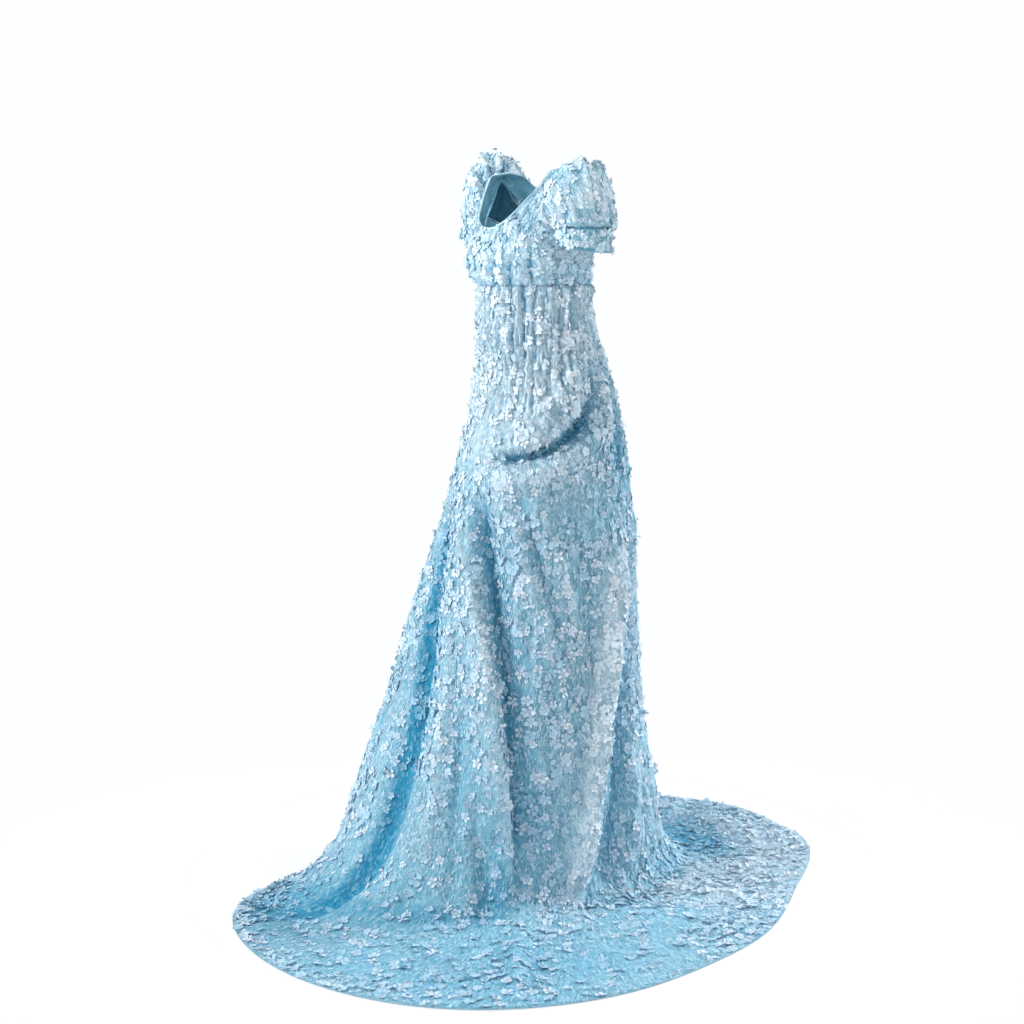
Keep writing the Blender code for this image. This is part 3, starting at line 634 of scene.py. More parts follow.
def flowerShape(random, count, profile, tipLift, palest):
    # one flower of unit radius lying face up, a bead at its middle
    points, faces, laid = [], [], []
    start = random.uniform(0, 2 * math.pi)
    kind = random.uniform(0, palest)
    for petal in range(count):
        uneven = random.uniform(-petalVaries["turn"], petalVaries["turn"])
        turn = start + 2 * math.pi * (petal + uneven) / count
        wide, long, lift = (random.uniform(*petalVaries[key]) for key in ("wide", "long", "lift"))
        lean = random.uniform(-petalVaries["lean"], petalVaries["lean"])
        first = len(points)
        strip = [(0.06, 0.0, 0.02, 0.0)]
        for along, half, high in profile:
            strip += [
                (along, -half * wide, high * lift + 0.08 + lean, along),
                (along + 0.03, 0.0, high * lift * 0.7, along),
                (along, half * wide, high * lift + 0.08 - lean, along),
            ]
        strip.append((1.0, 0.0, tipLift * lift, 1.0))
        points += [(*turned(along * long, side, turn), high) for along, side, high, _ in strip]
        laid += [(kind, along) for _, _, _, along in strip]
        faces += [(first, first + 1, first + 2), (first, first + 2, first + 3)]
        for a in range(first + 1, first + 3 * len(profile) - 2, 3):
            for b in (a, a + 1):
                faces += [(b, b + 3, b + 4), (b, b + 4, b + 1)]
        tip = len(points) - 1
        faces += [(tip - 3, tip, tip - 2), (tip - 2, tip, tip - 1)]
    sides, middle = flowers["beadSides"], len(points)
    slots = [0] * len(faces) + [1] * sides
    beadLow, beadHigh = flowers["beadHeight"]
    points.append((0, 0, beadHigh))
    for k in range(sides):
        points.append((*turned(flowers["beadRadius"], 0, 2 * math.pi * k / sides), beadLow))
        faces.append((middle, middle + 1 + k, middle + 1 + (k + 1) % sides))
    laid += [(0.5, 0.5)] * (sides + 1)
    return np.array(points), np.array(faces), np.array(slots), np.array(laid)


def leafShape(random):
    # one satin-stitched leaf of unit length, arched along its middle
    bend = random.uniform(-leafVaries["bend"], leafVaries["bend"])
    half = random.uniform(*leafVaries["wide"])
    middle = [(0, -half + bend, 0.05), (0, bend, 0.17), (0, half + bend, 0.05)]
    points = [(-0.5, 0, 0.02), *middle, (0.5, 0, 0.04)]
    faces = [(0, 1, 2), (0, 2, 3), (1, 4, 2), (2, 4, 3)]
    return np.array(points), np.array(faces), np.full(4, 2), np.full((5, 2), 0.5)


def placesOn(points, spacing, random):
    # jittered places at about equal spacing over a grid, as row and column numbers with fractions
    down = np.linalg.norm(np.diff(points, axis=0), axis=-1).mean(1)
    run = np.concatenate([[0], np.cumsum(down)])
    lines = max(1, int(run[-1] / spacing))
    jitter = flowers["jitter"]
    found = []
    for k in range(lines):
        row = np.interp((k + 0.5) * run[-1] / lines, run, np.arange(len(run)))
        length = lengths(points[int(row)])
        count = max(1, int(length[-1] / spacing))
        at = (np.arange(count) + 0.5 + random.uniform(-jitter, jitter, count)) * length[-1] / count
        rowsAway = random.uniform(-jitter, jitter, count) * spacing / down.mean()
        column = np.interp(at, length, np.arange(len(length)))
        found.append(np.stack([np.clip(row + rowsAway, 0.6, len(points) - 1.6), column], 1))
    return np.concatenate(found)


def read(grid, places):  # values of a grid at fractional rows and columns
    i = np.clip(places[:, 0].astype(int), 0, grid.shape[0] - 2)
    j = np.clip(places[:, 1].astype(int), 0, grid.shape[1] - 2)
    u = (places[:, 0] - i)[:, None]
    v = (places[:, 1] - j)[:, None]
    flat = grid.reshape(grid.shape[0], grid.shape[1], -1)
    top = flat[i, j] * (1 - v) + flat[i, j + 1] * v
    low = flat[i + 1, j] * (1 - v) + flat[i + 1, j + 1] * v
    return top * (1 - u) + low * u


def dot(u, v):
    return (u * v).sum(-1)


def stamp(shapes, surface, places, sizes, away, tilt, turn, random):
    # copies of a few shapes, each turned and leaning a little, and bent to the cloth under them
    grid, normals, acrosses, falls = surface
    count = len(places)
    normal, across, fall = (read(g, places) for g in (normals, acrosses, falls))
    normal = unit(normal)
    up = unit(normal + tilt * random.normal(size=(count, 3)))
    first = unit(fall - up * dot(fall, up)[:, None])
    spin = random.uniform(-turn, turn, count)[:, None]
    first = first * np.cos(spin) + np.cross(up, first) * np.sin(spin)
    frames = np.stack([first, np.cross(up, first), up], 1) * sizes[:, None, None]
    which = random.integers(0, len(shapes), count)
    last = np.array(grid.shape[:2]) - 1.001
    firstStretch, stretch, keptStretch = flowers["stretch"]
    parts = []
    for k, (points, faces, slots, laid) in enumerate(shapes):
        chosen = np.flatnonzero(which == k)
        a, f = across[chosen][:, None], fall[chosen][:, None]
        moved = np.einsum("pa,nab->npb", points, frames[chosen]) + normal[chosen][:, None] * away
        high = dot(moved, normal[chosen][:, None])
        onAcross, onFall = dot(moved, a), dot(moved, f)
        aa, af, ff = dot(a, a), dot(a, f), dot(f, f)
        total = np.maximum(aa * ff - af * af, 0.4 * aa * ff)
        shift = together(onFall * aa - onAcross * af, onAcross * ff - onFall * af)
        shift = shift / total[..., None]
        reach = np.linalg.norm(moved, axis=-1)[..., None]
        steps = np.sqrt(together(ff, aa))
        shiftMost = firstStretch * reach / steps
        shift = np.clip(shift, -shiftMost, shiftMost)
        middle = read(grid, places[chosen])[:, None]
        beyondMost = flowers["edgeReach"] / steps
        for attempt in range(3):  # a point is drawn back where the cloth's grid carries it too far
            spot = places[chosen][:, None] + shift
            inside = np.clip(spot, 0, last)
            beyond = np.clip(spot - inside, -beyondMost, beyondMost)
            flat = inside.reshape(-1, 2)
            base = read(grid, flat).reshape(moved.shape) + beyond[..., :1] * f + beyond[..., 1:] * a
            gone = np.linalg.norm(base - middle, axis=-1)[..., None]
            shift = shift * np.minimum(1, stretch * reach / np.maximum(gone, 1e-6))
        out = unit(read(normals, flat)).reshape(moved.shape)
        moved = base + out * np.maximum(high, 0.0003)[..., None]
        kept = np.linalg.norm(moved - middle, axis=-1).max(1) < keptStretch * sizes[chosen]
        moved, chosen = moved[kept], chosen[kept]
        offset = np.arange(len(chosen))[:, None, None] * len(points)
        parts.append((moved.reshape(-1, 3), (faces[None] + offset).reshape(-1, 3),
                      np.tile(slots, len(chosen)), np.tile(laid, (len(chosen), 1)),
                      np.repeat(chosen, len(points))))
    return parts


shapeMaker = np.random.default_rng(flowers["seed"])
smallFlowers = [flowerShape(shapeMaker, count, smallPetal, 0.36, 1.0) for count in smallCounts]
largeFlowers = [flowerShape(shapeMaker, count, largePetal, 0.22, 0.75) for count in largeCounts]
leaves = [leafShape(shapeMaker) for leaf in range(leafCount)]


def sewFlowers(name, grids, closed, look, seed):
    # flowers, leaves and pearls over one panel, as one joined piece; cover thins them out below 1
    random = np.random.default_rng(seed)
    if closed:
        grids = {key: np.concatenate([grid, grid[:, :1]], 1) for key, grid in grids.items()}
    points, cover = grids["points"], grids["cover"]
    # the painted shade and painted highlight of the cloth under each flower
    shade = together(grids["trough"], grids["fall"][..., 2])
    across, fall = np.gradient(points, axis=1), np.gradient(points, axis=0)
    surface = (points, outward(points, False), across, fall)
    parts = []
    spots = placesOn(points, flowers["spacing"] / look["flowerDensity"], random)
    large = random.uniform(0, 1, len(spots)) < flowers["large"]
    loose = random.uniform(0, 1, len(spots)) < flowers["loose"]
    sprigs = placesOn(points, flowers["leafSpacing"] / look["flowerDensity"], random)
    for kind, shapes, places, turn in (
        ("small", smallFlowers, spots[~large & ~loose], math.pi),
        ("loose", smallFlowers, spots[~large & loose], math.pi),
        ("large", largeFlowers, spots[large], math.pi),
        ("leaf", leaves, sprigs, flowers["leafTurn"]),
    ):
        radius, tilt, away = flowers["kinds"][kind]
        places = places[random.uniform(0, 1, len(places)) < read(cover, places)[:, 0]]
        spread = flowers["spread"] * random.uniform(-1, 1, len(places))
        sizes = radius * look["flowerSize"] * (1 + spread)
        shades = read(shade, places)
        for *part, source in stamp(shapes, surface, places, sizes, away, tilt, turn, random):
            parts.append((*part, shades[source]))
    offset = np.cumsum([0] + [len(part[0]) for part in parts])
    points, _, slots, laid, shade = (np.concatenate([part[k] for part in parts]) for k in range(5))
    faces = np.concatenate([part[1] + start for part, start in zip(parts, offset)])
    points[:, 2] = np.maximum(points[:, 2], gown["flowerGap"] - gown["shoulderHeight"])
    trough, crest = shade.T
    fall = together(0, 0, crest)
    print("  ", name, len(faces), "triangles")
    finishes = [petals[look["petals"]], pearl, thread]
    return addPiece(name, points, faces.tolist(), finishes, slots, laid, trough, fall)


# height above the floor, then the radius towards the front, front left, left and so on round
skirtRings = [
    (1.258, 0.112, 0.12, 0.122, 0.112, 0.1, 0.112, 0.122, 0.12),
    (1.18, 0.114, 0.122, 0.127, 0.119, 0.11, 0.119, 0.127, 0.121),
    (1.1, 0.117, 0.128, 0.138, 0.138, 0.134, 0.133, 0.135, 0.123),
    (1.02, 0.13, 0.146, 0.157, 0.165, 0.161, 0.155, 0.15, 0.133),
    (0.94, 0.153, 0.182, 0.175, 0.182, 0.18, 0.17, 0.162, 0.152),
    (0.86, 0.174, 0.196, 0.185, 0.192, 0.193, 0.181, 0.174, 0.172),
    (0.74, 0.206, 0.208, 0.192, 0.199, 0.2, 0.19, 0.188, 0.202),
    (0.6, 0.248, 0.232, 0.2, 0.204, 0.202, 0.198, 0.205, 0.24),
    (0.45, 0.288, 0.258, 0.211, 0.212, 0.211, 0.206, 0.225, 0.28),
    (0.3, 0.34, 0.284, 0.224, 0.226, 0.228, 0.219, 0.25, 0.325),
    (0.18, 0.385, 0.305, 0.235, 0.248, 0.254, 0.234, 0.275, 0.355),
    (0.09, 0.432, 0.326, 0.246, 0.266, 0.276, 0.25, 0.3, 0.38),
    (0.034, 0.505, 0.352, 0.262, 0.284, 0.306, 0.268, 0.33, 0.408),
    (0.01, 0.575, 0.395, 0.292, 0.308, 0.348, 0.296, 0.366, 0.424),
    (0.005, 0.62, 0.52, 0.4, 0.38, 0.45, 0.375, 0.42, 0.44),
    (0.004, 0.658, 0.65, 0.53, 0.47, 0.55, 0.462, 0.48, 0.464),
    (0.003, 0.69, 0.76, 0.65, 0.56, 0.656, 0.55, 0.535, 0.492),
]

# where the hem reaches further or less far than its rings: angle, spread of degrees, length
reaches = [(-25, 14, -0.085), (95, 14, -0.016), (180, 9, -0.022)]

# start angle and drop below the seam, the same at the middle and at the end, width to the front and
# to the back, and depth
skirtFolds = [
    # the swag that the hand draws up, from the back of the hip round to the front left
    (100, 0.13, 86, 0.235, 38, 0.29, 0.03, 0.03, 0.014),
    (113, 0.13, 109, 0.235, 82, 0.312, 0.024, 0.022, -0.02),
    (100, 0.272, 67, 0.337, 26, 0.352, 0.024, 0.022, -0.021),
    (122, 0.14, 121, 0.25, 90, 0.338, 0.02, 0.024, 0.011),
    (112, 0.292, 77, 0.364, 30, 0.4, 0.022, 0.022, 0.012),
    # folds that fan out below the hand, down to the floor
    (-42, 0.38, -30, 0.9, -14, 1.4, 0.04, 0.05, 0.012),
    (-22, 0.4, 7, 0.88, 0, 1.42, 0.036, 0.03, -0.034),
    (4, 0.37, 37, 0.74, 47, 1.16, 0.036, 0.02, 0.017),
    (18, 0.39, 45, 0.756, 57, 1.27, 0.018, 0.042, -0.028),
    (40, 1.08, 43, 1.18, 45, 1.29, 0.018, 0.02, -0.012),
    # the side panel that ends in one steep edge, and the close folds behind it
    (124, 0.44, 108, 0.89, 78, 1.29, 0.06, 0.03, 0.022),
    (134, 0.6, 115, 0.95, 89, 1.31, 0.03, 0.034, -0.024),
    (134, 0.62, 126, 0.98, 108, 1.27, 0.018, 0.018, 0.012),
    (143, 0.36, 138, 0.86, 122, 1.28, 0.018, 0.02, -0.014),
    (152, 0.3, 152, 0.8, 140, 1.27, 0.022, 0.022, 0.012),
    # back and right, where the skirt hangs by itself
    (166, 0.34, 166, 0.76, 160, 1.3, 0.024, 0.028, -0.02),
    (182, 0.26, 181, 0.82, 176, 1.32, 0.03, 0.026, 0.016),
    (198, 0.3, 197, 0.7, 202, 1.29, 0.028, 0.024, -0.022),
    (214, 0.38, 216, 0.86, 220, 1.33, 0.028, 0.032, 0.018),
    (233, 0.28, 234, 0.78, 240, 1.28, 0.03, 0.026, -0.024),
    (252, 0.4, 254, 0.9, 262, 1.34, 0.034, 0.028, 0.019),
    (272, 0.32, 276, 0.82, 284, 1.31, 0.032, 0.036, -0.026),
    (292, 0.36, 298, 0.86, 303, 1.33, 0.036, 0.03, 0.018),
    (308, 0.42, 316, 0.92, 326, 1.35, 0.03, 0.034, -0.026),
    # low ridges where the spread hem lies on the floor
    (54, 1.24, 57, 1.36, 58, 1.53, 0.02, 0.02, 0.012),
    (226, 1.28, 202, 1.4, 172, 1.45, 0.03, 0.03, 0.016),
    (98, 1.32, 101, 1.42, 108, 1.52, 0.03, 0.026, 0.006),
    (22, 1.33, 24, 1.43, 21, 1.53, 0.03, 0.034, 0.006),
    (282, 1.34, 286, 1.43, 284, 1.53, 0.03, 0.03, 0.008),
]

# smaller creases, only in the cloth: the same columns
skirtCreases = [
    # the swag's sharp crease, the puff above it and the lip below
    (112, 0.13, 107, 0.245, 82, 0.314, 0.008, 0.005, -0.011),
    (96, 0.286, 64, 0.34, 30, 0.354, 0.007, 0.005, -0.013),
    (106, 0.19, 95, 0.258, 62, 0.314, 0.013, 0.008, 0.007),
    (80, 0.305, 56, 0.326, 32, 0.334, 0.01, 0.007, 0.007),
    (104, 0.296, 66, 0.356, 28, 0.368, 0.007, 0.009, 0.006),
    (118, 0.15, 114, 0.255, 98, 0.302, 0.006, 0.007, 0.006),
    # thin upright pleats behind the swag
    (114, 0.12, 119, 0.245, 109, 0.33, 0.005, 0.006, 0.007),
    (122, 0.14, 124, 0.26, 116, 0.4, 0.005, 0.005, -0.006),
    (138, 0.14, 133, 0.27, 131, 0.43, 0.005, 0.006, 0.006),
    (129, 0.12, 128, 0.28, 124, 0.46, 0.006, 0.005, -0.006),
    (144, 0.14, 140, 0.3, 137, 0.48, 0.006, 0.006, -0.005),
    # the sharp edge of the front fold
    (-4, 0.4, 42, 0.78, 50, 1.3, 0.012, 0.006, 0.007),
    (18, 0.41, 46, 0.8, 54, 1.34, 0.007, 0.01, -0.01),
    # the side panel's steep edge
    (126, 0.48, 101, 0.88, 74, 1.36, 0.03, 0.009, 0.022),
    (131, 0.56, 111, 0.88, 77, 1.38, 0.009, 0.013, -0.014),
    (104, 0.2, 96, 0.262, 66, 0.306, 0.007, 0.009, -0.004),
    (92, 0.16, 84, 0.206, 58, 0.262, 0.008, 0.007, 0.004),
    (74, 0.348, 56, 0.366, 34, 0.372, 0.006, 0.006, -0.004),
    (33, 0.37, 44, 0.56, 56, 0.76, 0.01, 0.012, 0.006),
    (30, 0.38, 27, 0.52, 24, 0.64, 0.008, 0.01, -0.006),
    (38, 0.39, 58, 0.6, 72, 0.82, 0.012, 0.014, 0.006),
    (46, 0.4, 70, 0.64, 84, 0.98, 0.01, 0.014, -0.006),
    (56, 0.39, 84, 0.66, 92, 0.86, 0.012, 0.01, 0.005),
    (-12, 0.44, -6, 0.7, 12, 1.06, 0.012, 0.01, 0.007),
    (-34, 0.46, -24, 0.76, -16, 1.12, 0.014, 0.012, -0.006),
    (-52, 0.42, -48, 0.8, -40, 1.18, 0.016, 0.014, 0.007),
    (-64, 0.36, -62, 0.7, -58, 1.24, 0.014, 0.016, -0.008),
    (-78, 0.4, -80, 0.82, -76, 1.26, 0.016, 0.014, 0.007),
    (14, 0.62, 22, 0.9, 24, 1.24, 0.014, 0.012, 0.006),
    (28, 0.86, 32, 1.08, 34, 1.29, 0.01, 0.012, -0.006),
    (50, 0.92, 52, 1.11, 52, 1.26, 0.014, 0.01, 0.006),
    (70, 0.52, 78, 0.78, 74, 1.15, 0.016, 0.018, 0.004),
    (84, 0.46, 94, 0.7, 90, 0.98, 0.012, 0.01, -0.004),
    (140, 0.66, 133, 0.98, 118, 1.25, 0.008, 0.008, 0.006),
    (147, 0.42, 145, 0.76, 132, 1.18, 0.008, 0.01, 0.005),
    (126, 0.52, 121, 0.82, 108, 1.15, 0.01, 0.008, -0.006),
    (158, 0.4, 158, 0.86, 150, 1.26, 0.01, 0.012, -0.006),
    (174, 0.36, 174, 0.7, 169, 1.16, 0.012, 0.01, 0.005),
    (190, 0.44, 190, 0.96, 188, 1.3, 0.01, 0.012, -0.006),
    (206, 0.4, 207, 0.76, 210, 1.18, 0.012, 0.012, 0.006),
    (224, 0.46, 226, 0.9, 230, 1.28, 0.012, 0.01, 0.006),
    (243, 0.38, 244, 0.72, 250, 1.2, 0.012, 0.014, -0.006),
    (262, 0.48, 266, 0.94, 272, 1.29, 0.014, 0.012, 0.006),
    (40, 1.3, 42, 1.4, 40, 1.5, 0.012, 0.014, 0.004),
    (72, 1.27, 76, 1.38, 80, 1.5, 0.014, 0.012, 0.005),
    (8, 1.34, 6, 1.43, 4, 1.52, 0.014, 0.014, 0.005),
    (122, 1.27, 126, 1.37, 130, 1.48, 0.014, 0.012, 0.005),
    (146, 1.29, 150, 1.39, 156, 1.51, 0.014, 0.014, 0.006),
]

# where the flowers lie densest and the cloth and petals carry a painted highlight: the last value is
# how pale
highlightBands = [
    (126, 0.47, 101, 0.85, 80, 1.3, 0.024, 0.01, 1.0),
    (112, 1.28, 150, 1.39, 190, 1.52, 0.16, 0.16, 0.7),
]

# painted shade in deeper blue, most of it where folds meet the floor, some inside the swag and behind
# the hip: angle, drop (each with its spread), share
paintedShadeSpots = [
    (-4, 12, 1.36, 0.11, 0.9), (-34, 16, 1.3, 0.06, 0.4), (47, 6, 1.215, 0.075, 0.5),
    (26, 24, 1.268, 0.026, 0.55), (52, 46, 1.43, 0.11, 0.34), (140, 16, 1.258, 0.04, 0.8),
    (178, 24, 1.345, 0.055, 1.0), (88, 20, 0.3, 0.06, 0.26), (142, 24, 0.37, 0.13, 0.3),
]

skirt = {
    "rowRuns": [                # drop at which each ends, and its rows
        (0.12, 16), (0.40, 70), (0.56, 24), (1.16, 62), (1.38, 28), (None, 17),
    ],
    "columnsAGather": 16,
    "reachStart": 1.10,         # drop from which the hem's reaches tell
    "gatherRise": 0.0050,
    "gatherReach": 0.30,
    "gatherDrift": 3.0,         # degrees by which gathers wander sideways as they fall
    "gatherUneven": 0.5,
    "crinkle": 0.0056,          # upright crinkles under the empire seam
    "crinkleReach": (0.10, 0.34),  # drop at which they start to fade, and how far on they are least
    "crinkleLeast": 0.34,       # share of them that is left further down
    "crinkleFloor": (1.15, 0.15, 0.6),  # where they fade again: drop, how far on, share lost
    "hip": (128, 30, 0.3),      # close folds behind the left hip: angle, spread, more crinkle
    "rumple": 0.0020,
    "grain": 0.0011,
    "seamDepth": 0.0034,
    "lumps": {                  # soft random relief: patches down, patches round, seed
        "crinkle": [(30, 150, 21), (18, 92, 22), (90, 260, 27)], "rumple": (64, 90, 23),
        "grain": (120, 240, 24), "drift": (5, 22, 25), "bare": (16, 22, 26), "uneven": (9, 34, 28),
    },
    "crinkleMix": (1, 0.7, 0.55),
    "troughDepth": 0.019,       # sinking at which the painted shade is deepest
    "creaseDepth": 0.009,       # the same for the smaller creases
    "coverDrops": [0.004, 0.10, 0.30, 1.24, 1.32],
    "coverShares": [0.50, 0.60, 0.74, 0.74, 1.0],   # of the flowers, at those drops
    "bareCover": 0.65,          # share of the flowers left out where the cloth is bare
    "sunkCover": 0.55,          # and where it is sunk
    "bandCover": 0.4,           # more of them on the highlight bands
    "cloth": "skirtCloth",
    "thick": gown["clothThick"],
    "petals": "petalCloth",
    "slot": "skirt_cloth",
    "sewnRows": slice(None),
    "flowerSize": 1.0,
    "flowerDensity": 1.16,      # on the floor; less where the skirt stands
    "flatCut": {                # width and length of each panel laid flat, and the area of its cut
        "skirt_front": (2.14, 1.60, 1.66),
        "skirt_back_left": (1.12, 1.58, 0.79),
        "skirt_back_right": (1.08, 1.58, 0.75),
    },
}

hem = {"sides": 5, "thick": 0.0013, "out": 0.0010, "height": 0.0030}


def ringDrops():  # length of cloth from the empire seam to each ring, as the mean all round
    rings = np.array(skirtRings)
    steps = np.hypot(np.diff(rings[:, 1:], axis=0), np.diff(rings[:, :1], axis=0)).mean(1)
    return np.concatenate([[0.0], np.cumsum(steps)])


drops = ringDrops()
skirtLength = drops[-1]


def skirtBase(angle, drop):
    row = smoothBetween(drops, skirtRings, drop)
    radius = around(row[..., 1:], angle)
    told = ease((drop - skirt["reachStart"]) / (skirtLength - skirt["reachStart"]))
    for middle, spread, length in reaches:
        radius = radius + length * told * bell((angle - middle + 180) % 360 - 180, spread)
    return polar(angle, radius, row[..., 0]), radius


def foldRise(folds, angle, drop, radius):  # how far some curved folds lift the cloth
    total = 0
    for *corners, frontWidth, backWidth, depth in folds:
        start, middle, end = np.array(corners).reshape(3, 2)
        t = np.linspace(0, 1, 17)[:, None]
        bend = 2 * middle - (start + end) / 2
        path = (1 - t) ** 2 * start + 2 * t * (1 - t) * bend + t ** 2 * end
        nearest, side, along = np.full(angle.shape, 1e9), 0, 0
        for k in range(len(path) - 1):
            ax = np.radians((path[k, 0] - angle + 180) % 360 - 180) * radius
            bx = ax + np.radians(path[k + 1, 0] - path[k, 0]) * radius
            ay = path[k, 1] - drop
            by = path[k + 1, 1] - drop
            dx, dy = bx - ax, by - ay
            s, away = nearLine(ax, ay, dx, dy)
            closer = away < nearest
            nearest = np.where(closer, away, nearest)
            side = np.where(closer, ax * dy - ay * dx, side)
            along = np.where(closer, (k + s) / (len(path) - 1), along)
        ends = ease(along / 0.25) * ease((1 - along) / 0.2)
        total = total + depth * bell(nearest, np.where(side > 0, frontWidth, backWidth)) * ends
    return total


def gatherWave(angle):  # 1 on a gather's crest and 0 between two
    a = (angle + 180) % 360 - 180
    front = (a + 90) * gown["frontGathers"] / 180
    back = (np.abs(a) - 90) * gown["backGathers"] / 90
    return 0.5 + 0.5 * np.cos(2 * np.pi * np.where(np.abs(a) <= 90, front, back))


def crinkleShare(angle, drop):  # how much of the upright crinkles each place has
    hipAngle, hipSpread, hipMore = skirt["hip"]
    least = skirt["crinkleLeast"] + hipMore * bell(angle - hipAngle, hipSpread)
    start, reach = skirt["crinkleReach"]
    floorDrop, floorReach, floorLoss = skirt["crinkleFloor"]
    left = 1 - (1 - least) * ease((drop - start) / reach)
    return left * (1 - floorLoss * ease((drop - floorDrop) / floorReach)) * ease(drop / 0.012)


def shapeSkirt():
    half = gown["frontGathers"] * skirt["columnsAGather"] + 1
    angles = np.concatenate([np.linspace(-90, 90, half), np.linspace(90, 270, half)[1:-1]])
    rows = [0.0]
    for end, count in skirt["rowRuns"]:
        rows += list(np.linspace(rows[-1], end or skirtLength, count + 1)[1:])
    angle, drop = np.meshgrid(angles, rows)
    shape = angle.shape
    base, radius = skirtBase(angle, drop)
    folds, creases, bands = (
        foldRise(table, angle, drop, radius) for table in (skirtFolds, skirtCreases, highlightBands)
    )
    patches = skirt["lumps"]
    wander = skirt["gatherDrift"] * lumps(shape, *patches["drift"]) * ease(drop / 0.12)
    waves = gatherWave(angle + wander)
    uneven = 1 + skirt["gatherUneven"] * lumps(shape, *patches["uneven"])
    gathers = skirt["gatherRise"] * uneven * waves * bell(drop, skirt["gatherReach"])
    mixed = zip(skirt["crinkleMix"], patches["crinkle"])
    crinkle = sum(part * lumps(shape, *sizes) for part, sizes in mixed) * crinkleShare(angle, drop)
    rumple = lumps(shape, *patches["rumple"]) * (1 - 0.5 * bell(drop, 0.3))
    grain = lumps(shape, *patches["grain"])
    rise = (folds + creases) * ease(drop / 0.06) + gathers - skirt["seamDepth"] * bell(drop, 0.005)
    rise = rise + skirt["crinkle"] * crinkle + skirt["rumple"] * rumple + skirt["grain"] * grain
    points = base + outward(base, True) * rise[..., None]
    low = gown["floorGap"] + gown["clothThick"] - gown["shoulderHeight"]
    points[..., 2] = np.maximum(points[..., 2], low + 0.0008 * (1 + grain))
    points[0, :, 2] += 0.0012                               # tucked up inside the bodice
    shades = shadeSkirt(angle, drop, folds, creases, bands, waves, crinkle, rumple)
    run = np.radians(angle)
    # the fall's third value carries the painted highlight to the cloth and its flowers
    return {
        **shades, "points": points, "laid": together(run * radius, drop),
        "fall": together(run * 0.2, drop, shades["crest"]),
    }


def shadeSkirt(angle, drop, folds, creases, bands, waves, crinkle, rumple):
    # painted shade in folds, creases, gathers and hollows, how closely the flowers lie, and painted
    # highlight on crests and bands
    # painted shade between gathers
    between = (1 - waves) ** 3 * bell(drop, 0.26) * 0.26
    # painted shade in deep folds, most at the front, and in creases
    sunk = share(-folds / skirt["troughDepth"]) ** 3 * (0.36 + 0.64 * bell(angle, 24))
    sunk = sunk + share(-creases / skirt["creaseDepth"]) * 0.32
    for middle, spread, depth, reach, amount in paintedShadeSpots:
        sunk = sunk + amount * bell(angle - middle, spread) * bell(drop - depth, reach)
    # painted shade in crinkle and rumple hollows, and under the empire seam
    hollowShade = share(-crinkle - 0.15) * 0.5 + share(-rumple - 0.3) * 0.25
    trough = share(sunk + between + hollowShade + 0.4 * bell(drop, 0.003))
    bare = ease((lumps(angle.shape, *skirt["lumps"]["bare"]) - 0.05) / 0.45)
    bare = bare * (1 - bell(angle - 112, 26) * bell(drop - 0.26, 0.13))     # none on the swag
    bare = bare * (1 - share(bands * 1.3)) * ease((drop - 0.12) / 0.25)
    cover = np.interp(drop, skirt["coverDrops"], skirt["coverShares"])
    cover = cover * (1 - skirt["bareCover"] * bare)
    cover = cover * (1 - skirt["sunkCover"] * share(sunk)) * (1 + skirt["bandCover"] * share(bands))
    # painted highlight on the upper gathers, less behind the hip, and on folds, creases, crinkles and
    # bands
    upper = 1 - ease((drop - 0.22) / 0.30)
    upper = upper * (1 - 0.8 * ease((drop - 0.08) / 0.12) * bell(angle - 132, 30))
    crest = upper * (0.78 + 0.30 * waves) * (1 - between) + 0.4 * share(folds / 0.02) + bands
    crest = share(crest + 0.4 * share(creases / 0.008) + 0.25 * share(crinkle) - sunk)
    return {"trough": trough, "cover": cover, "crest": crest}


def makeSkirt():
    grids = shapeSkirt()
    points = grids["points"]
    frontColumns = gown["frontGathers"] * skirt["columnsAGather"]
    backColumns = frontColumns // 2
    along = unit(np.roll(points, -1, 1) - np.roll(points, 1, 1)) * gown["seamGap"] / 2
    rolled = addHemCord(points[-1])
    for name, first, count in (
        ("skirt_front", 0, frontColumns),
        ("skirt_back_left", frontColumns, backColumns),
        ("skirt_back_right", frontColumns + backColumns, backColumns),
    ):
        columns = [j % points.shape[1] for j in range(first, first + count + 1)]
        panel = {key: grid[:, columns].copy() for key, grid in grids.items()}
        panel["points"][:, 0] += along[:, columns[0]]
        panel["points"][:, -1] -= along[:, columns[-1]]
        for key in ("laid", "fall"):                        # the last column may be the first again
            panel[key][:, -1, 0] = 2 * panel[key][:, -2, 0] - panel[key][:, -3, 0]
        cloth, sewn = dressSolid(name, panel, False, skirt, 31 + first)
        extra = [sewn, rolled] if name == "skirt_front" else [sewn]
    print("skirt: three panels, their flowers and the hem")


def addHemCord(line):  # rolled edge round the hem; its darker blue is partly painted shade where the hem meets the floor
    up = np.array([0, 0, 1.0])
    out = unit(np.cross(np.roll(line, -1, 0) - np.roll(line, 1, 0), up))
    turns = np.linspace(0, 2 * np.pi, hem["sides"], endpoint=False)
    middle = line + out * hem["out"]
    middle[:, 2] = hem["height"] - gown["shoulderHeight"]
    spokes = out[:, None] * np.cos(turns)[:, None] + up * np.sin(turns)[:, None]
    rings = middle[:, None] + hem["thick"] * spokes
    run = np.cumsum(np.linalg.norm(np.roll(line, -1, 0) - line, axis=1))
    laid = together(run[:, None], turns).reshape(-1, 2)
    return addTube("hem_cord", rings, True, laid, hemCord)


makeSkirt()


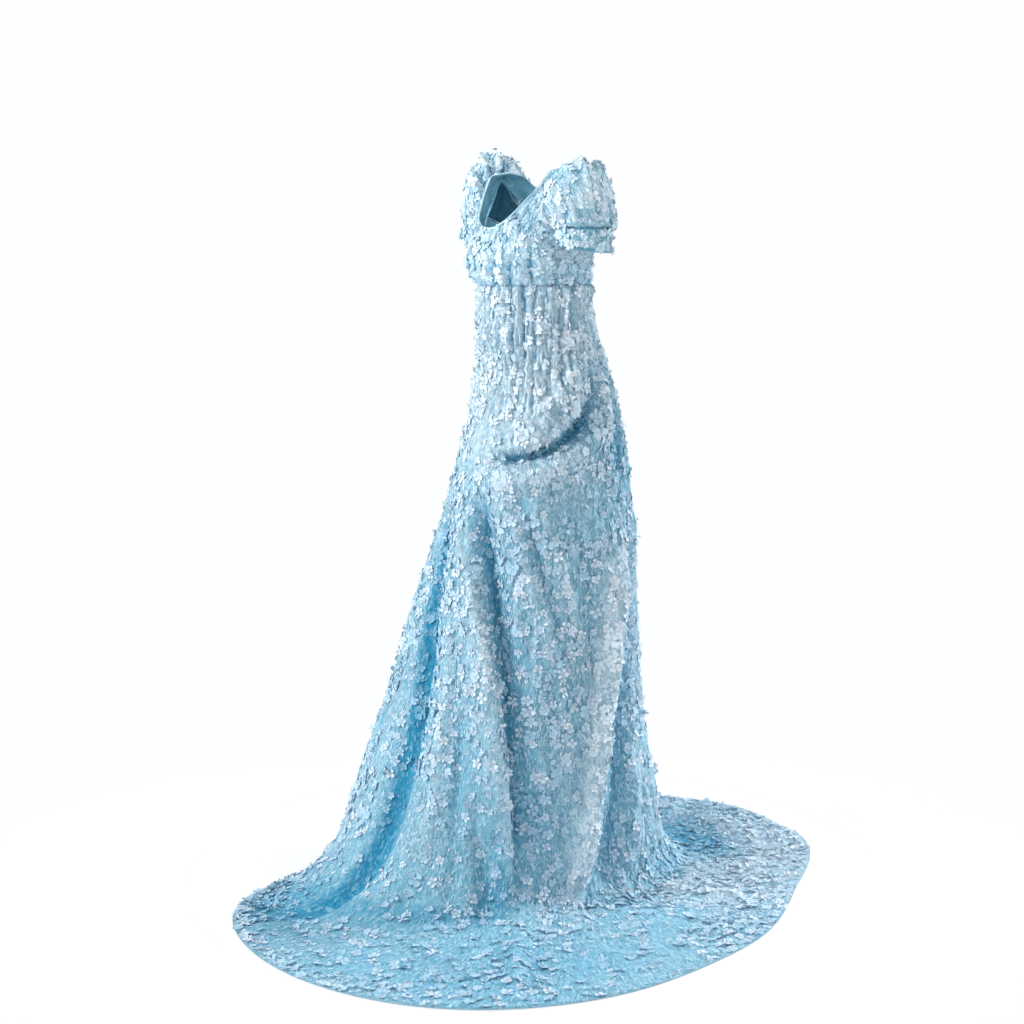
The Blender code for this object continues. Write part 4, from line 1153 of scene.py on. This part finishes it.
# height above the floor, then the radius at the front, front side, side, back side and back
torsoSections = [
    (1.258, 0.112, 0.12, 0.122, 0.112, 0.1), (1.28, 0.124, 0.134, 0.125, 0.113, 0.1),
    (1.306, 0.132, 0.146, 0.129, 0.116, 0.101), (1.335, 0.124, 0.141, 0.132, 0.12, 0.104),
    (1.372, 0.108, 0.131, 0.136, 0.124, 0.107), (1.41, 0.094, 0.122, 0.143, 0.124, 0.105),
    (1.45, 0.08, 0.108, 0.153, 0.115, 0.096), (1.478, 0.07, 0.098, 0.152, 0.104, 0.086),
    (1.486, 0.065, 0.09, 0.136, 0.096, 0.08), (1.49, 0.06, 0.084, 0.116, 0.088, 0.075),
]

# from the centre to the side seam: angle at the seam, at the bust and its height, at the chest and
# its height, at the top edge and its height
frontStations = [
    (0, 0, 1.3, 0, 1.34, 0, 1.372), (10, 10, 1.3, 10, 1.341, 11, 1.374),
    (19, 19, 1.3, 20, 1.345, 22, 1.38), (28, 28, 1.301, 29, 1.352, 34, 1.393),
    (36, 36, 1.303, 38, 1.362, 47, 1.418), (43, 42, 1.304, 46, 1.374, 64, 1.456),
    (46, 44.5, 1.3045, 48.5, 1.379, 74, 1.484), (49, 47, 1.305, 51, 1.384, 90, 1.49),
    (54, 51, 1.305, 54, 1.387, 90, 1.486), (59, 55, 1.304, 56.5, 1.388, 90, 1.478),
    (64, 59, 1.302, 57.4, 1.382, 78, 1.435), (69, 63, 1.3, 58.2, 1.374, 68, 1.405),
    (74, 68, 1.296, 59.6, 1.362, 64, 1.378), (80, 76, 1.29, 67, 1.336, 68.5, 1.354),
    (90, 90, 1.282, 90, 1.31, 90, 1.335),
]
backStations = [
    (180, 180, 1.3, 180, 1.36, 180, 1.415), (170, 170, 1.3, 170, 1.36, 169, 1.416),
    (161, 161, 1.3, 160, 1.362, 158, 1.42), (152, 152, 1.301, 151, 1.366, 146, 1.428),
    (144, 144, 1.303, 142, 1.372, 133, 1.441), (137, 138, 1.304, 134, 1.378, 116, 1.465),
    (134, 135.5, 1.3045, 131.5, 1.381, 105, 1.485),
] + [  # the shoulder and the armhole, the same as in front
    (180 - seamAngle, 180 - bustAngle, bust, 180 - chestAngle, chest, 180 - topAngle, top)
    for seamAngle, bustAngle, bust, chestAngle, chest, topAngle, top in frontStations[7:]
]

# soft creases: start angle and height, end angle and height, width, depth
frontCreases = [
    (8, 1.262, 13, 1.33, 0.006, 0.006), (17, 1.262, 26, 1.345, 0.005, -0.006),
    (27, 1.262, 33, 1.318, 0.006, 0.0065), (36, 1.262, 47, 1.342, 0.005, -0.0065),
    (46, 1.262, 52, 1.322, 0.006, 0.006), (56, 1.264, 57, 1.345, 0.005, -0.0065),
    (66, 1.264, 64, 1.318, 0.006, 0.005), (79, 1.262, 80, 1.322, 0.006, -0.0045),
    (22, 1.372, 44, 1.336, 0.006, -0.006), (33, 1.386, 54, 1.34, 0.006, 0.0055),
    (40, 1.398, 60, 1.352, 0.005, -0.005), (4, 1.296, -8, 1.352, 0.006, -0.005),
    (-4, 1.34, -26, 1.328, 0.006, 0.0045), (-12, 1.262, -16, 1.322, 0.006, 0.006),
    (-22, 1.262, -34, 1.35, 0.006, -0.006), (-36, 1.264, -40, 1.322, 0.006, 0.006),
    (-48, 1.264, -56, 1.346, 0.005, -0.006), (-60, 1.264, -62, 1.318, 0.006, 0.0055),
    (-76, 1.262, -78, 1.32, 0.006, -0.0045), (-30, 1.386, -54, 1.34, 0.006, -0.0055),
    (-42, 1.4, -60, 1.352, 0.006, 0.0045),
]
backCreases = [
    (104, 1.262, 106, 1.33, 0.006, -0.005), (118, 1.262, 124, 1.35, 0.006, 0.0045),
    (132, 1.264, 138, 1.33, 0.006, -0.005), (148, 1.262, 150, 1.362, 0.007, 0.0045),
    (162, 1.262, 160, 1.32, 0.006, -0.0045), (122, 1.4, 146, 1.352, 0.007, -0.0045),
    (138, 1.424, 166, 1.376, 0.007, 0.004),
]

bodice = {
    "stationSteps": 6,          # columns from one station to the next
    "neckStations": 7,          # from the centre to the shoulder
    "rows": 56,
    "chestShare": 0.38,
    "bustShare": 0.72,
    "waves": (26, 0.0040),      # round the body, and how far they rise at the empire seam
    "rumple": (0.0026, 17, 30),  # rise, patches down and across
    "grain": (0.0009, 44, 74),
    "seamDepth": 0.0020,
    "creaseDepth": 0.006,       # at which the painted shade is deepest
    "meanRadius": 0.13,
    "clear": 0.0004,            # between the cloth and the body's form
    "bindingWidth": 0.0044,
    "bindingOut": 0.0015,
    "cloth": "bodiceCloth",
    "thick": gown["clothThick"],
    "petals": "palePetalCloth",
    "slot": "bodice_cloth",
    "sewnRows": slice(3, -2),
    "flowerSize": 1.02,
    "flowerDensity": 1.14,
    "flatCut": {
        "bodice_front": (0.44, 0.24, 0.062),
        "bodice_back_left": (0.21, 0.24, 0.032),
        "bodice_back_right": (0.21, 0.24, 0.032),
    },
}


def torso(angle, height):
    row = smoothBetween([section[0] for section in torsoSections], torsoSections, height)
    return polar(angle, around(row[..., [1, 2, 3, 4, 5, 4, 3, 2]], angle), height)


def bodiceGrid(stations):
    # points with their angle and height: rows down from the top edge, columns through the stations
    table = np.array(stations, float)
    knots = [0, bodice["chestShare"], bodice["bustShare"], 1]
    down = np.linspace(0, 1, bodice["rows"] + 1)
    angle = smoothBetween(knots, table[:, [5, 3, 1, 0]].T, down)
    low = np.full(len(table), seamHeight)
    height = smoothBetween(knots, np.stack([table[:, 6], table[:, 4], table[:, 2], low]), down)
    known = np.concatenate([torso(angle, height), angle[..., None], height[..., None]], -1)
    fine = np.linspace(0, len(table) - 1, (len(table) - 1) * bodice["stationSteps"] + 1)
    byStation = known.transpose(1, 0, 2).reshape(len(table), -1)
    filled = smoothBetween(np.arange(len(table)), byStation, fine)
    return filled.reshape(len(fine), -1, 5).transpose(1, 0, 2)


def shapeBodice(grid, seed, creases):
    base, angle, height = grid[..., :3], grid[..., 3], grid[..., 4]
    normal = outward(base, False)
    nearShoulder = height > gown["shoulderHeight"] - 0.004
    spread = unit(normal + 0.2 * unit(base * np.array([1, 1, 0])))
    normal = np.where(nearShoulder[..., None], spread, normal)
    above = height - seamHeight
    run = np.radians(angle)
    crease = creaseRise(creases, angle, height, math.radians(1) * bodice["meanRadius"])
    count, waveRise = bodice["waves"]
    wave = 0.5 + 0.5 * np.cos(run * count + 0.7 * np.sin(run * 9))
    (rumpleRise, *rumpleSizes), (grainRise, *grainSizes) = bodice["rumple"], bodice["grain"]
    rumple = lumps(angle.shape, *rumpleSizes, seed, False)
    grain = lumps(angle.shape, *grainSizes, seed + 1, False)
    rise = crease + waveRise * wave * bell(above, 0.026) + rumpleRise * rumple + grainRise * grain
    edge = np.linspace(0, 1, angle.shape[0])[:, None]
    rise = rise * ease(edge / 0.06) - bodice["seamDepth"] * bell(above, 0.0035)
    depth = crease / bodice["creaseDepth"]
    # painted shade in creases, rumple hollows and at the empire seam; painted highlight on ridges, a
    # little all over
    trough = share(-depth) * 0.7 + share(-rumple - 0.2) * 0.4
    trough = share(trough + 0.35 * bell(above, 0.0028))
    crest = share(0.25 + share(depth) * 0.6 + rumple * 0.5 - trough)
    down = gown["shoulderHeight"] - height
    run = run * bodice["meanRadius"]
    points = base + normal * (rise + bodice["clear"])[..., None]
    return {
        "points": points, "trough": trough, "cover": np.ones(angle.shape),
        "laid": together(run, down), "fall": together(run, down, crest),
    }


def makeBodice():
    half, back = bodiceGrid(frontStations), bodiceGrid(backStations)
    mirror = np.array([-1, 1, 1, -1, 1])                # of x, y, z, angle and height
    front = np.concatenate([half[:, :0:-1] * mirror, half], axis=1)
    mirrored = [(-a0, h0, -a1, h1, width, depth) for a0, h0, a1, h1, width, depth in backCreases]
    made = [
        (name, *dressSolid(name, shapeBodice(grid, seed, creases), False, bodice, seed + 40))
        for name, grid, seed, creases in (
            ("bodice_front", front, 51, frontCreases),
            ("bodice_back_left", back[:, ::-1], 53, backCreases),
            ("bodice_back_right", back * mirror, 55, mirrored),
        )
    ]
    binding = addNeckBinding(half[..., :3], back[..., :3])
    for name, cloth, sewn in made:
        extra = [sewn, binding] if name == "bodice_front" else [sewn]
    print("bodice: three panels, their flowers and the neck binding")


def addNeckBinding(front, back):
    # smooth satin strip folded over the neck edge, round the front and the back
    last = bodice["neckStations"] * bodice["stationSteps"]
    front, back = front[:, :last + 1], back[:, :last + 1]
    mirror = np.array([-1, 1, 1])
    grid = np.concatenate(
        [front, back[:, -2::-1], (back * mirror)[:, 1:-1], (front * mirror)[:, :0:-1]], axis=1
    )
    edge = grid[0]
    down = unit(grid[4] - edge)
    out = unit(np.cross(down, unit(np.roll(edge, -1, 0) - np.roll(edge, 1, 0))))
    width, lift = bodice["bindingWidth"], bodice["bindingOut"]
    profile = [(1.0, 0.2), (0.92, 0.85), (0.6, 1.1), (0.25, 1.1), (0.0, 0.9),   # down, out
               (-0.06, 0.0), (0.0, -1.3), (0.5, -1.4), (0.9, -1.3)]
    rows = np.array([edge + down * (a * width) + out * (b * lift) for a, b in profile])
    run = np.cumsum(np.linalg.norm(np.roll(edge, -1, 0) - edge, axis=1))
    laid = together(run, np.arange(len(rows))[:, None] * 0.002).reshape(-1, 2)
    return addTube("neck_binding", rows, False, laid, neckSatin)


makeBodice()


Ring = namedtuple("Ring", "share out grow x y height turn forward depthRadius heightRadius")

# along the sleeve: how far from the armhole's own shape to an ellipse, and that ellipse
armholeRings = [(0, -0.001, -0.007, 0, 0, 0, 0, 0, 0, 0), (0, 0.007, -0.006, 0, 0, 0, 0, 0, 0, 0)]
sleeveRings = {
    "left": [
        (0.6, 0.014, 0.0, 0.1548, -0.002, 1.4235, 16, 0, 0.069, 0.0745),
        (1.0, 0, 0, 0.168, -0.006, 1.429, 25, 0, 0.071, 0.076),
        (1.0, 0, 0, 0.182, -0.01, 1.4225, 38, 0, 0.07, 0.071),
        (1.0, 0, 0, 0.1913, -0.009, 1.408, 55, 0, 0.0695, 0.063),
        (1.0, 0, 0, 0.1945, -0.005, 1.3913, 73, 0, 0.066, 0.056),
        (1.0, 0, 0, 0.1945, -0.001, 1.3793, 85, 0, 0.06, 0.0522),
        (1.0, 0, 0, 0.194, 0.001, 1.3705, 90, 0, 0.055, 0.05),
    ],
    "right": [
        (0.6, 0.014, 0.0, 0.1545, 0.002, 1.427, 12, 4, 0.066, 0.0819),
        (1.0, 0, 0, 0.1705, 0.009, 1.439, 16, 4, 0.068, 0.0925),
        (1.0, 0, 0, 0.189, 0.012, 1.444, 21, 4, 0.069, 0.095),
        (1.0, 0, 0, 0.206, 0.013, 1.433, 28, 4, 0.069, 0.0886),
        (1.0, 0, 0, 0.219, 0.012, 1.411, 36, 4, 0.066, 0.0767),
        (1.0, 0, 0, 0.225, 0.01, 1.391, 43, 4, 0.0605, 0.0649),
        (1.0, 0, 0, 0.2275, 0.007, 1.369, 52, 4, 0.0545, 0.0502),
    ],
}

# creases of the puff: angle round from the top, positive behind, and length from the armhole
sleeveCreases = [
    (-96, 0.02, -72, 0.128, 0.006, -0.006), (-78, 0.026, -58, 0.1, 0.006, 0.005),
    (-54, 0.022, -40, 0.09, 0.006, -0.0055), (-40, 0.024, -22, 0.12, 0.007, 0.0055),
    (-20, 0.02, -14, 0.082, 0.006, -0.006), (-4, 0.024, -6, 0.118, 0.007, 0.006),
    (14, 0.02, 8, 0.076, 0.006, -0.005), (26, 0.024, 24, 0.11, 0.007, 0.0055),
    (44, 0.022, 36, 0.094, 0.006, -0.006), (60, 0.026, 56, 0.126, 0.007, 0.005),
    (80, 0.024, 76, 0.1, 0.006, -0.0055), (104, 0.026, 98, 0.12, 0.007, 0.004),
    (128, 0.03, 120, 0.11, 0.006, -0.0045), (-120, 0.03, -112, 0.118, 0.007, 0.004),
    (-60, 0.15, -52, 0.104, 0.006, -0.005), (-28, 0.152, -34, 0.098, 0.006, -0.0045),
    (2, 0.15, 10, 0.09, 0.006, -0.0055), (38, 0.152, 30, 0.11, 0.006, -0.0045),
    (70, 0.15, 66, 0.104, 0.006, -0.005), (100, 0.15, 108, 0.112, 0.006, -0.004),
    (-92, 0.15, -96, 0.11, 0.006, -0.0045),
]

sleeve = {
    "columns": 135,
    "rows": 54,
    "length": 0.17,             # from inside the armhole to the cuff
    "meanRadius": 0.07,
    "gathers": 9,
    "fineGathers": 25,
    "gatherRise": 0.0056,
    "fineRise": 0.0024,
    "underarmOut": 0.35,
    "firstArmholeStation": 9,
    "creaseDepth": 0.006,
    "rumple": (0.0034, 13, 26),  # rise, patches down and round
    "grain": (0.0009, 40, 96),
    "ruffle": (0.0075, 9, 38),  # where the head is gathered into the armhole
    "ruffleAt": (0.21, 0.07),   # share of the sleeve's length and its spread
    "tuckDepth": 0.0034,        # where it is gathered into the cuff
    "tuckSpread": 0.035,
    "puffRise": 0.0026,         # just above that
    "puffAt": (0.88, 0.05),
    "bareStrip": ((-84, 44), (0.17, 0.065)),    # by the armhole: angle, length and their spreads
    "cloth": "sleeveCloth",
    "thick": gown["clothThick"],
    "petals": "palePetalCloth",
    "slot": "sleeve_cloth",
    "sewnRows": slice(7, -2),
    "flowerSize": 1.08,
    "flowerDensity": 1.22,
    "flatCut": {"left": (0.43, 0.20, 0.060), "right": (0.43, 0.22, 0.072)},
}

cuff = {
    "rows": 20,
    "length": 0.042,
    "slant": 0.17,              # share by which it is longer behind than in front
    "meanRadius": 0.055,
    "tucked": 0.03,             # share of its length that is inside the sleeve
    "narrowing": 0.001,         # of its radius, on the lowest third
    "rumple": (0.0018, 5, 30),
    "grain": (0.0007, 16, 90),
    "seamDepth": 0.0044,
    "seamSpread": 0.12,
    "edgeRise": 0.0014,
    "cloth": "cuffCloth",
    "thick": gown["clothThick"] * 1.4,
    "petals": "palePetalCloth",
    "slot": "cuff_cloth",
    "sewnRows": slice(3, None),
    "flowerSize": sleeve["flowerSize"] * 0.9,
    "flowerDensity": sleeve["flowerDensity"] * 1.12,
    "flatCut": (0.36, 0.042),
}


def armholeOutline(count):
    # the left armhole's edge from the shoulder over the back and the underarm to the front
    last = len(frontStations) - 1
    start = sleeve["firstArmholeStation"]
    back = [row[5:] for row in backStations[start:]]
    front = [row[5:] for row in frontStations[last - 1:start:-1]]
    edge = np.array(back + front, float)
    corners = torso(edge[:, 0], edge[:, 1])
    near = [np.roll(corners, -m, 0)[:, None] for m in (-1, 0, 1, 2)]
    fine = throughFour(near, np.linspace(0, 1, 8, endpoint=False)[:, None]).reshape(-1, 3)
    fine = np.concatenate([fine, fine[:1]])
    run = lengths(fine)
    even = np.linspace(0, run[-1], count, endpoint=False)
    return np.stack([np.interp(even, run, fine[:, k]) for k in range(3)], -1)


def ringAxes(ring):
    turn, forward = math.radians(ring.turn), math.radians(ring.forward)
    swing = np.array([0, -math.sin(forward), -math.cos(forward)])
    out = np.array([1.0, 0, 0])
    facing = out * math.cos(turn) + swing * math.sin(turn)
    upper = out * math.sin(turn) - swing * math.cos(turn)
    return facing, upper


def ringPoints(ring, outline):
    facing, upper = ringAxes(ring)
    behind = np.cross(upper, facing)
    b = np.linspace(0, 2 * np.pi, len(outline), endpoint=False)[:, None]
    centre = np.array([ring.x, ring.y, ring.height - gown["shoulderHeight"]])
    ellipse = centre + upper * ring.heightRadius * np.cos(b) + behind * ring.depthRadius * np.sin(b)
    spoke = unit(outline - outline.mean(0))
    least = sleeve["underarmOut"]
    out = ring.out * (least + (1 - least) * (0.5 + 0.5 * np.cos(b)))
    edge = outline + spoke * ring.grow + out * np.array([1.0, 0, 0])
    return edge * (1 - ring.share) + ellipse * ring.share


def tubeGrids(points, trough, cover, run, down, crest, sign):
    # the left side's grids, or their mirror image for the right side
    grids = {
        "points": points * np.array([sign, 1, 1]), "trough": trough, "cover": cover,
        "laid": together(run, down), "fall": together(run, down, crest),
    }
    return {key: grid[:, ::sign] for key, grid in grids.items()}


def makeSleeve(side, sign, seed):
    rings = [Ring(*row) for row in armholeRings + sleeveRings[side]]
    outline = armholeOutline(sleeve["columns"])
    table = np.array([ringPoints(ring, outline) for ring in rings])
    fineRows = np.linspace(0, len(rings) - 1, sleeve["rows"] + 1)
    grid = smoothBetween(np.arange(len(rings)), table.reshape(len(rings), -1), fineRows)
    grid = grid.reshape(-1, sleeve["columns"], 3)
    shape = grid.shape[:2]
    b = np.arange(sleeve["columns"]) * 2 * np.pi / sleeve["columns"]
    degrees = (np.degrees(b) + 180) % 360 - 180
    down = np.linspace(0, 1, sleeve["rows"] + 1)[:, None]   # 0 at the armhole, 1 at the cuff
    top = 0.5 + 0.5 * np.cos(b)
    uneven = 0.6 * np.sin(2 * b + 1) + 0.4 * np.sin(5 * b)
    wave = (0.5 + 0.5 * np.cos(b * sleeve["gathers"] + uneven)) * top
    fine = (0.5 + 0.5 * np.cos(b * sleeve["fineGathers"] + 3 * uneven)) * (0.35 + 0.65 * top)
    ends = 2 * ease((down - 0.15) / 0.2) * (1 - down) ** 2 + 0.8 * down ** 6
    scale = math.radians(1) * sleeve["meanRadius"]
    crease = creaseRise(sleeveCreases, degrees[None, :], down * sleeve["length"], scale)
    (rumpleRise, *rumpleSizes), (grainRise, *grainSizes) = sleeve["rumple"], sleeve["grain"]
    ruffleRise, *ruffleSizes = sleeve["ruffle"]
    ruffleAt, ruffleSpread = sleeve["ruffleAt"]
    puffAt, puffSpread = sleeve["puffAt"]
    (stripAngle, stripWide), (stripAt, stripLong) = sleeve["bareStrip"]
    rumple = lumps(shape, *rumpleSizes, seed)
    ruffle = 0.4 + lumps(shape, *ruffleSizes, seed + 2)
    ruffle = ruffle * bell(down - ruffleAt, ruffleSpread) * top
    tuck = bell(down - 1.0, sleeve["tuckSpread"]) * (0.8 + 0.2 * np.sin(3 * b + 0.5))
    rise = sleeve["gatherRise"] * wave * ends + sleeve["fineRise"] * fine * down ** 5
    rise = rise + (crease + rumpleRise * rumple) * ease((down - 0.10) / 0.1)
    rise = rise + ruffleRise * ruffle + grainRise * lumps(shape, *grainSizes, seed + 1)
    rise = rise - sleeve["tuckDepth"] * tuck
    rise = rise + sleeve["puffRise"] * bell(down - puffAt, puffSpread) * (0.5 + 0.5 * fine)
    strip = np.exp(-((degrees - stripAngle) / stripWide) ** 4 - ((down - stripAt) / stripLong) ** 4)
    points = grid + outward(grid, True) * (rise * (1 - 0.8 * strip))[..., None]
    depth = crease / sleeve["creaseDepth"]
    # painted shade in creases, hollows, at the tuck into the cuff and at the armhole; the strip by the
    # armhole takes its own deeper blue; painted highlight on ridges
    trough = 0.5 * tuck + share(-depth) * 0.6 + share(-rumple - 0.2) * 0.35
    trough = share(trough * (1 - strip) + 0.75 * strip + 0.8 * bell(down, 0.07))
    crest = share(0.5 + share(depth) * 0.5 + rumple * 0.5 - trough) * (1 - strip)
    run = b * sleeve["meanRadius"]
    grids = tubeGrids(points, trough, 1 - strip, run, down * sleeve["length"], crest, sign)
    cloth, sewn = dressSolid("sleeve_" + side, grids, True, sleeve, seed + 7)
    makeCuff(side, sign, seed, rings[-1], outline)


def makeCuff(side, sign, seed, ring, outline):
    facing, _ = ringAxes(ring)
    b = np.arange(sleeve["columns"]) * 2 * np.pi / sleeve["columns"]
    slant = 1 + cuff["slant"] * np.sin(b)[:, None]
    down = np.linspace(0, 1, cuff["rows"] + 1)
    rows = []
    for part in down:
        less = cuff["narrowing"] * ease((part - 0.66) / 0.34)
        radii = {key: getattr(ring, key) - less for key in ("depthRadius", "heightRadius")}
        length = cuff["length"] * (part * slant * (1 + cuff["tucked"]) - cuff["tucked"])
        rows.append(ringPoints(ring._replace(**radii), outline) + facing * length)
    grid, down = np.array(rows), down[:, None]
    (rumpleRise, *rumpleSizes), (grainRise, *grainSizes) = cuff["rumple"], cuff["grain"]
    rumple = lumps(grid.shape[:2], *rumpleSizes, seed + 3)
    seam = bell(down, cuff["seamSpread"])
    rise = rumpleRise * rumple + grainRise * lumps(grid.shape[:2], *grainSizes, seed + 4)
    rise = rise - cuff["seamDepth"] * seam + cuff["edgeRise"] * bell(down - 0.95, 0.06)
    points = grid + outward(grid, True) * rise[..., None]
    # painted shade at the seam into the sleeve and in hollows; painted highlight on rumples
    trough = share(0.7 * seam + share(-rumple - 0.2) * 0.4)
    crest = share(0.2 + rumple * 0.6 - trough)
    run, cover = b * cuff["meanRadius"], np.ones(trough.shape)
    grids = tubeGrids(points, trough, cover, run, down * cuff["length"], crest, sign)
    cloth, sewn = dressSolid("cuff_" + side, grids, True, cuff, seed + 9)


makeSleeve("left", 1, 71)
makeSleeve("right", -1, 81)
print("sleeves and cuffs: both sides with their flowers")
